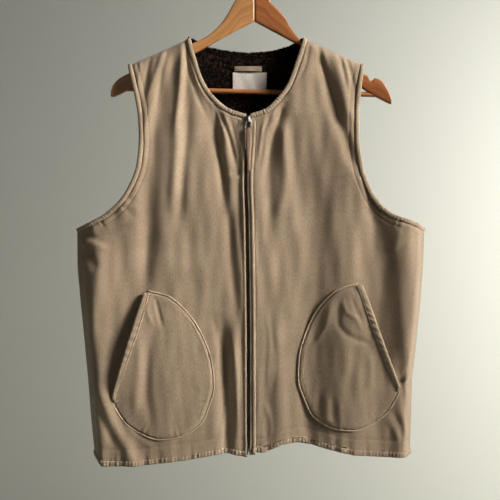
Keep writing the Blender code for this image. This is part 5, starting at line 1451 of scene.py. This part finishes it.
# %% Stitches along a path
def stitches(path, normals, pitch=3.2, length=2.3, radius=0.36):
    """Spindles of ten points at even steps along a path: two tips and two square rings, half sunk."""
    centre, up = resampled([path, normals], pitch)
    tangent = unit(np.gradient(centre, axis=0))
    up = unit(up)
    side = unit(np.cross(tangent, up))
    parts = [centre - tangent * length / 2.0 - up * 0.15]
    for shift in (-0.25, 0.25):
        for a, b in ((1, 0), (0, 1), (-1, 0), (0, -1)):
            parts.append(centre + tangent * length * shift + (side * a + up * b) * radius)
    parts.append(centre + tangent * length / 2.0 - up * 0.15)
    points = np.stack(parts, axis=1).reshape(-1, 3)
    base = (np.arange(len(centre)) * 10)[:, None, None]
    ring = np.array([[1 + k, 1 + (k + 1) % 4, 5 + (k + 1) % 4, 5 + k] for k in range(4)])
    ends = np.array([[0, 1 + (k + 1) % 4, 1 + k] for k in range(4)] + [[9, 5 + k, 5 + (k + 1) % 4] for k in range(4)])
    quads, triangles = (base + ring[None]).reshape(-1, 4), (base + ends[None]).reshape(-1, 3)
    return points, facing_out(points, quads.tolist() + triangles.tolist())


def sewn_line(path, face):
    """A stitch row on the finished cloth along x and z places."""
    return stitches(*on_surface(cloth_depth, path[:, 0], path[:, 1], face, 0.1, 0.8))


def hem_rows(across, face):
    """Two stitch rows over the hem of a face: through the strip's edge and at the turned-up facing."""
    return [sewn_line(np.stack([across, np.interp(across, HEMS[face][:, 0], HEMS[face][:, 1]) + rise], axis=-1), face)
            for rise in (HEM_WIDTH + 1.2, HEM_FACING)]


BESIDE_BINDING = BINDING_WIDTH + 0.9
rows = {"front": [], "back": []}
for side in ("right", "left"):
    if side == "left":
        heights = np.linspace(-268.0, -778.0, 170)
        rows["front"].append(sewn_line(np.stack([front_edge(heights, side) + ZIP_FACING, heights], axis=-1), "front"))
    edge, inward = (line[14:-6:3] for line in finished_edge("side_", side))
    for face in ("front", "back"):
        rows[face] += [sewn_line(edge + inward * offset, face) for offset in (FACING_WIDTH, BESIDE_BINDING)]
    edge, inward = (line[6:-6:3] for line in finished_edge("zip_", side))
    rows["front"].append(sewn_line(edge + inward * BESIDE_BINDING, "front"))
    rows["front"] += hem_rows(np.linspace(14.0, 238.0, 90) if side == "left" else np.linspace(-24.0, -250.0, 90),
                              "front")
rows["back"] += hem_rows(np.linspace(-250.0, 237.0, 160), "back")
rows["back"].append(sewn_line((neck_outline + neck_inward * BESIDE_BINDING)[2:-2], "back"))
for name, face in (("stitching_fronts", "front"), ("stitching_back", "back")):
    make_piece(name, joined(rows[face]), thread)

pocket_rows = []
for side in ("right", "left"):
    top, normal = panels["welt_" + side]
    pocket_rows.append(stitches(top[-3] + normal * 0.1, normal))
    share = (np.linspace(0.03, 0.97, 160) - PATCH_START) / (1.0 - 2.0 * PATCH_START) * (PATCH_ALONG - 1)
    path, out = (np.stack([np.interp(share, np.arange(PATCH_ALONG), grid[-4, :, k]) for k in range(3)], axis=-1)
                 for grid in panels["pocket_" + side])
    pocket_rows.append(stitches(path + out * 0.1, out))
make_piece("stitching_pockets", joined(pocket_rows), thread)

# %% [markdown]
# ## The zip
# A metal zip is two cloth tapes, each with a row of teeth clamped on its edge. Each tooth is one small hexagonal
# block, and numpy repeats it down both sides, half a pitch apart, so that the rows mesh.

# %% Tapes and teeth
def chain_line(z):
    """x of the zip's middle, between the two finished edges."""
    return (front_edge(z, "right") + front_edge(z, "left")) / 2.0


TAPE_REACH = np.array([0.0, 0.8, 1.6, 4.0, 9.0])
TAPE_LIFT = np.array([0.9, 0.9, 0.3, 0.0, 0.0])
tape_z = np.linspace(-257.0, -786.0, 200)
tapes = []
for away in TO_SIDE.values():
    sheet_x = chain_line(tape_z)[:, None] + away * (0.9 + TAPE_REACH)
    sheet_z = np.repeat(tape_z[:, None], 5, axis=1)
    outer = standing(sheet_x, sheet_z, bare_depth(sheet_x, sheet_z, "front") - SHELL_WALL - 0.6 + TAPE_LIFT, "front")
    tapes.append(shell(outer, outer + np.array([0.0, 0.7, 0.0])))
tapes = joined(tapes)
make_piece("zip_tapes", tapes, tape_cloth, ["zip_tape"], uv=tapes[0][:, [0, 2]])

TOOTH_PITCH = 2.3
TOOTH_OUTLINE = np.array([(-0.5, 0.35), (1.3, 0.5), (2.0, 0.28), (2.0, -0.28), (1.3, -0.5), (-0.5, -0.35)])
teeth = []
for away, first in ((-1.0, -271.0), (1.0, -271.0 - TOOTH_PITCH / 2.0)):
    heights = np.arange(first, -781.0, -TOOTH_PITCH)
    centre_x = chain_line(heights)
    x = (centre_x + away * 1.55)[:, None] - away * TOOTH_OUTLINE[:, 0]
    front_y = 0.9 - bare_depth(centre_x, heights, "front")[:, None]
    layers = [np.stack([x, np.broadcast_to(front_y + level, x.shape),
                        heights[:, None] + TOOTH_OUTLINE[:, 1] * grow * 1.35], axis=-1)
              for level, grow in ((0.0, 0.8), (0.25, 1.0), (1.2, 1.0), (1.45, 0.8))]
    points = np.stack(layers, axis=1).reshape(-1, 3)
    base = (np.arange(len(heights)) * 24)[:, None, None]
    walls = (base + grid_faces(4, 6, True)[None]).reshape(-1, 4).tolist()
    caps = (base[:, 0] + np.array([[5, 4, 3, 2, 1, 0]])).tolist() + (base[:, 0] + np.arange(18, 24)).tolist()
    teeth.append((points, facing_out(points, walls + caps)))
make_piece("zip_teeth", joined(teeth), zip_metal, ["zip_chain"])

# %% [markdown]
# ## Slider, pull tab and leather strip
# The slider is a bell-shaped plate with a small bow, the crown, over its face. The tab hangs on the crown by its top
# bar and carries a strip of soft leather folded through its slot. Only the tab and its strip ride on the moving
# body, so that they swing when the joint does.

# %% Plates and wires
def box_mm(node):
    """Low and high corner of a CAD solid in millimetres."""
    return (np.array(corner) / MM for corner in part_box(node))


slider_low, slider_high = box_mm("zip_slider")
strip_end = next(box_mm("zip_pull_strip"))[2]
pivot = np.array(frame["joints"][0]["pos_m"]) / MM


def plate(outline, y_back, y_front, bevel, centre):
    """Bevelled plate: an outline in x and z drawn at four depths, smaller at the two faces."""
    outline = np.asarray(outline, dtype=float)
    size = np.abs(outline).max(axis=0)
    rings = []
    for y, inset in ((y_back, bevel), (y_back - bevel, 0.0), (y_front + bevel, 0.0), (y_front, bevel)):
        ring = outline * (1.0 - inset / size)
        rings.append(np.stack([centre[0] + ring[:, 0], np.full(len(ring), y), centre[2] + ring[:, 1]], axis=-1))
    return tube(rings)


def bar_rings(path, half_width, half_depth, closed=False, sides=10):
    """Rings of a rounded bar along a path in the garment's plane: an ellipse square to it, deep along y."""
    path = np.asarray(path, dtype=float)
    along = unit(np.roll(path, -1, 0) - np.roll(path, 1, 0) if closed else np.gradient(path, axis=0))
    across = unit(np.cross(along, np.array([0.0, 1.0, 0.0])))
    return swept(path, across, unit(np.cross(across, along)), profile(sides), half_width, half_depth)


def mirrored(half):
    """Outline from its right half, top to bottom."""
    half = np.array(half, dtype=float)
    return np.concatenate([half, half[::-1] * np.array([-1.0, 1.0])])


# %% Slider with its crown
slider_middle = (slider_low + slider_high) / 2.0
slider_back = slider_high[1]
BELL_HALF = [(1.2, 5.9), (2.9, 5.7), (3.6, 4.6), (3.7, 2.0), (4.1, -1.0), (5.0, -3.6), (5.3, -5.2), (4.9, -6.0),
             (2.4, -6.3)]
CROWN_HALF = [(0.8, 5.6), (1.7, 5.2), (1.9, 3.4), (2.0, 0.5), (2.8, -1.6), (4.6, -3.8), (5.0, -5.2), (4.6, -6.0),
              (2.2, -6.3)]
POST_HALF = [(0.9, 5.2), (1.3, 4.9), (1.3, 0.5), (0.9, 0.2)]
parts = [plate(mirrored(half), slider_back - behind, slider_back - ahead, bevel, slider_middle)
         for half, behind, ahead, bevel in ((BELL_HALF, 0.0, 1.1, 0.3), (CROWN_HALF, 1.5, 2.7, 0.35),
                                            (POST_HALF, 0.9, 1.7, 0.05))]
turn = np.linspace(0.0, math.pi, 21)
bow = np.stack([np.full(21, slider_middle[0]), slider_back - 2.3 - 4.7 * np.sin(turn) ** 0.7,
                slider_middle[2] + 4.1 * np.cos(turn)], axis=-1)
bow_side = np.broadcast_to(np.array([1.0, 0.0, 0.0]), bow.shape)
bow_up = unit(np.cross(unit(np.gradient(bow, axis=0)), bow_side))
parts.append(tube(swept(bow, bow_side, bow_up, profile(10), 1.0, 0.62)))
make_piece("zip_slider_body", joined(parts), zip_metal, ["zip_slider"])

# %% Tab and strip
TAB_HALF = [(2.4, 0.35), (3.4, -0.5), (3.8, -3.0), (4.5, -6.5), (5.4, -9.0), (6.0, -11.5), (5.6, -13.2), (3.4, -13.7)]
frame_x, frame_z = (mirrored(TAB_HALF) * np.array([0.86, 0.95]) + np.array([0.0, -0.1])).T
path = pivot + np.stack([frame_x, np.zeros(len(frame_x)), frame_z], axis=-1)
ends = np.concatenate([path, path[:1]])
path = smooth_table(ends, np.linspace(0.0, len(ends) - 1.0, 97)[:-1])
cross = pivot + np.linspace((-4.4, 0.0, -7.8), (4.4, 0.0, -7.8), 9)
tab = joined([tube(bar_rings(path, 0.72, 0.62, closed=True), closed=True), tube(bar_rings(cross, 0.62, 0.55))])
make_piece("zip_tab_frame", tab, zip_metal, ["zip_pull_tab"], body="zip_pull")

STRIP_WIDTHS = ([0.0, 0.08, 0.3, 0.72, 0.86, 0.9, 0.95, 1.0], [3.0, 3.2, 3.1, 2.2, 1.5, 2.0, 2.1, 1.2])
STRIP_DEPTHS = ([0.0, 0.1, 0.2, 0.84, 0.9, 0.95, 1.0], [1.75, 1.7, 1.1, 1.0, 1.6, 1.6, 0.8])
share = np.linspace(0.0, 1.0, 70)[:, None]
wide, deep = profile(14, 0.5, 0.6)
strip_top = pivot[2] - 12.0
rings = np.stack(np.broadcast_arrays(
    pivot[0] + 0.35 * np.sin(share * 9.0) * share + np.interp(share, *STRIP_WIDTHS) * wide,
    pivot[1] + np.interp(share, *STRIP_DEPTHS) * deep, strip_top + (strip_end - strip_top) * share), axis=-1)
make_piece("zip_leather_strip", tube(rings), pull_leather, ["zip_pull_strip"], body="zip_pull")

# %% [markdown]
# ## Label and hanging loop
# A white woven label and a loop of the deck cloth are sewn to the pile inside the back neck. The label is left
# blank. Both are thin shells that bulge a little between their stitched ends.

# %% Build them on the pile's face
label_low, label_high = box_mm("label")
loop_low, loop_high = box_mm("hanging_loop")


def strip_of_cloth(low, high, front_y, bulge, wall, columns, rows, seed):
    """Thin shell facing the neck: its face bulges like sin(pi u) between its ends, with slight waves."""
    u, v = np.meshgrid(np.linspace(0.0, 1.0, columns), np.linspace(0.0, 1.0, rows))
    x = low[0] + u * (high[0] - low[0])
    z = low[2] + v * (high[2] - low[2])
    wave = 0.3 * np.sin(u * 7.0 + seed) * np.sin(v * 4.0 + 1.0) + 0.15 * np.sin(u * 17.0 + v * 5.0)
    y = front_y - bulge * np.sin(math.pi * u) + wave
    outer = np.stack([x, y, z], axis=-1)
    return outer, outer + np.array([0.0, wall, 0.0])


LABEL_RAISED = 5.0
label_low[2] += LABEL_RAISED
outer, inner = strip_of_cloth(label_low, label_high, label_low[1] + 0.4, 0.0, 0.7, 45, 31, 0.4)
shell_piece("neck_label_blank", outer, inner, label_cloth, ["label"], outer[..., [0, 2]])
outer, inner = strip_of_cloth(loop_low, loop_high, loop_high[1] - 1.6, 2.3, 1.1, 45, 9, 1.9)
shell_piece("hanging_loop_strip", outer, inner, deck_cloth, ["hanging_loop"], outer[..., [0, 2]])

span = label_high - label_low
corners = [label_low + span * np.array([u, 0.0, v]) + np.array([0.0, 0.35, 0.0])
           for u, v in ((0.02, 0.03), (0.98, 0.03), (0.98, 0.97), (0.02, 0.97), (0.02, 0.03))]
facing = np.tile([[0.0, -1.0, 0.0]], (30, 1))
label_rows = [stitches(smooth_table(np.array(ends), np.linspace(0.0, 1.0, 30)), facing, 2.6, 1.9, 0.3)
              for ends in zip(corners[:-1], corners[1:])]
make_piece("stitching_label", joined(label_rows), thread)

# %% [markdown]
# ## The coat hanger
# The hanger is two shaped wooden arms glued at the middle, a dowel between their tips and a wire hook. Each arm is
# a rounded section carried along the arm, with its height read from a table of the outline. The grain runs along the
# arm because the UV's first coordinate does.

# %% Arms
ARM_RIGHT = np.array([
    # x, z_top, z_bottom
    (-3.6, -50.0, -103.5), (-20.0, -52.0, -112.0), (-36.0, -74.0, -120.5), (-48.0, -95.0, -127.0),
    (-62.0, -113.0, -134.5), (-81.0, -128.5, -145.0), (-105.0, -140.0, -158.0), (-150.0, -161.5, -181.0),
    (-204.0, -186.5, -212.5), (-212.0, -190.5, -216.8), (-220.4, -196.0, -220.8), (-228.3, -205.0, -223.6),
    (-232.0, -215.0, -222.9),
])
ARM_LEFT = np.array([
    (-3.0, -50.0, -103.5), (14.0, -55.0, -112.5), (23.0, -73.0, -117.5), (32.0, -82.0, -122.0),
    (45.0, -97.0, -129.0), (54.0, -112.5, -133.8), (66.0, -129.0, -140.0), (77.0, -141.5, -149.0),
    (96.0, -152.5, -160.0), (112.0, -160.0, -169.0),
    (160.0, -183.0, -203.5), (173.0, -188.5, -213.0), (177.5, -190.5, -216.0), (180.0, -195.5, -217.5),
    (182.5, -197.8, -219.0), (185.5, -196.5, -220.5), (189.0, -193.6, -222.5), (196.0, -196.0, -226.5),
    (204.6, -204.5, -230.7), (212.5, -219.6, -234.4), (215.0, -228.5, -235.0),
])
ARM_HALF_THICKNESS, ARM_RINGS = 5.2, 160
arm_side, arm_high = profile(24, 0.35, 0.35)
for name, table, finish, slot_name in (("hanger_arm_right", ARM_RIGHT, light_wood, "light_wood"),
                                       ("hanger_arm_left", ARM_LEFT, dark_wood, "dark_wood")):
    x, high, low = smooth_table(table, np.linspace(0.0, len(table) - 1.0, ARM_RINGS)).T[..., None]
    middle = (high + low) / 2.0
    thick = np.full((ARM_RINGS, 1), ARM_HALF_THICKNESS)
    thick[[0, -1]] *= 0.8
    rings = np.stack(np.broadcast_arrays(x, thick * arm_side, middle + (high - low) / 2.0 * arm_high), axis=-1)
    along = np.cumsum(np.hypot(np.diff(x, axis=0, prepend=x[:1]), np.diff(middle, axis=0, prepend=middle[:1])))
    uv = np.stack(np.broadcast_arrays(along[:, None], rings[..., 2] - middle + 0.3 * rings[..., 1]), axis=-1)
    make_piece(name + "_wood", tube(rings), finish, [name], uv=uv.reshape(-1, 2))

# %% Bar and hook
BAR_RADIUS = 4.0
rings = bar_rings(np.linspace((-207.0, 0.0, -210.5), (197.0, 0.0, -220.0), 60), BAR_RADIUS, BAR_RADIUS, sides=20)
make_piece("hanger_bar_dowel", tube(rings), bar_wood, ["hanger_bar"], uv=along_uv(rings))

HOOK_WIRE, HOOK_BEND, STEM_Z = 1.9, 21.0, -49.5
hook_radius = HOOK_BEND + HOOK_WIRE
turn = np.radians(np.linspace(-84.0, 210.0, 90))
bend = np.stack([hook_radius * np.cos(turn), np.zeros(90), hook_radius * np.sin(turn) - HOOK_BEND], axis=-1)
stem = np.linspace((0.0, 0.0, STEM_Z), (0.0, 0.0, -HOOK_BEND - hook_radius - 0.4), 8)
radius = np.append(np.full(96, HOOK_WIRE), [HOOK_WIRE * 0.85, HOOK_WIRE * 0.5])
wire = tube(bar_rings(np.concatenate([stem, bend]), radius, radius, sides=16))
make_piece("hanger_hook_wire", wire, hook_metal, ["hanger_hook"])

# %% [markdown]

# %% [markdown]
# ## Floor, light and camera
# The vest hangs in front of a pale wall, lit by a large window on the right. One big soft lamp with a narrow beam
# stands for the window, a weak one fills the shade, a third brightens the wall on the right as the photograph
# shows it, and the world adds a little of the room. The camera is level, a metre and a half away, and looks
# straight at the middle of the photograph.


# %% Stage
def stage_plane(name, corners, finish):
    """One large flat face as floor or wall."""
    mesh = bpy.data.meshes.new(name)
    mesh.from_pydata(corners, [], [(0, 1, 2, 3)])
    mesh.materials.append(finish)
    plane = bpy.data.objects.new(name, mesh)
    bpy.context.scene.collection.objects.link(plane)
    plane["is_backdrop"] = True


wall_paint, tree, shader = new_material("pale_matt_wall_paint", 0.9)
shader.inputs["Base Color"].default_value = colour("#D9D9D0")
STAGE, WALL_Y, FLOOR_Z = 4.0, 2.6, -1.6
stage_plane("floor", [(-STAGE, -STAGE, FLOOR_Z), (STAGE, -STAGE, FLOOR_Z), (STAGE, WALL_Y, FLOOR_Z),
                      (-STAGE, WALL_Y, FLOOR_Z)], wall_paint)
stage_plane("wall", [(-STAGE, WALL_Y, FLOOR_Z), (STAGE, WALL_Y, FLOOR_Z), (STAGE, WALL_Y, 2.4),
                     (-STAGE, WALL_Y, 2.4)], wall_paint)


def lamp(name, place, target, size, power, tint, spread=180.0):
    """Square area lamp turned towards a point; its light stays within the spread, in degrees."""
    data = bpy.data.lights.new(name, "AREA")
    data.shape = "SQUARE"
    data.size, data.energy, data.color, data.spread = size, power, tint, math.radians(spread)
    light = bpy.data.objects.new(name, data)
    light.location = place
    light.rotation_euler = (Vector(target) - Vector(place)).to_track_quat("-Z", "Y").to_euler()
    bpy.context.scene.collection.objects.link(light)


lamp("window", (3.45, -1.85, 1.25), (-1.05, 0.0, -0.5), 1.5, 21.5, (1.0, 0.97, 0.94), 32.0)
lamp("fill", (-0.9, -2.2, 0.4), (0.0, 0.0, -0.45), 1.6, 2.0, (0.95, 0.98, 1.0))
lamp("wall_light", (2.6, 1.05, -0.1), (0.8, 2.6, -0.45), 1.2, 88.0, (1.0, 0.99, 0.96))
world = bpy.data.worlds.new("room")
world.use_nodes = True
world.node_tree.nodes["Background"].inputs["Color"].default_value = colour("#C9CAC5")
world.node_tree.nodes["Background"].inputs["Strength"].default_value = 0.08
bpy.context.scene.world = world
bpy.context.scene.view_settings.view_transform = "Standard"

# %% Camera at the photograph's place
PIXEL, PHOTO_MIDDLE, ORIGIN_COLUMN, ORIGIN_ROW = 1.58 * MM, 250.0, 256.5, -46.0
CAMERA_AWAY, FRONT_AHEAD, SENSOR_MM = 1.5, 0.015, 36.0
camera_data = bpy.data.cameras.new("camera")
camera_data.sensor_width = SENSOR_MM
camera_data.lens = SENSOR_MM / 2.0 * (CAMERA_AWAY - FRONT_AHEAD) / (PHOTO_MIDDLE * PIXEL)
camera = bpy.data.objects.new("camera", camera_data)
camera.location = ((PHOTO_MIDDLE - ORIGIN_COLUMN) * PIXEL, -CAMERA_AWAY, (ORIGIN_ROW - PHOTO_MIDDLE) * PIXEL)
camera.rotation_euler = (math.pi / 2.0, 0.0, 0.0)
bpy.context.scene.collection.objects.link(camera)
bpy.context.scene.camera = camera

# %% Bounds of the dressed vest
low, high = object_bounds()
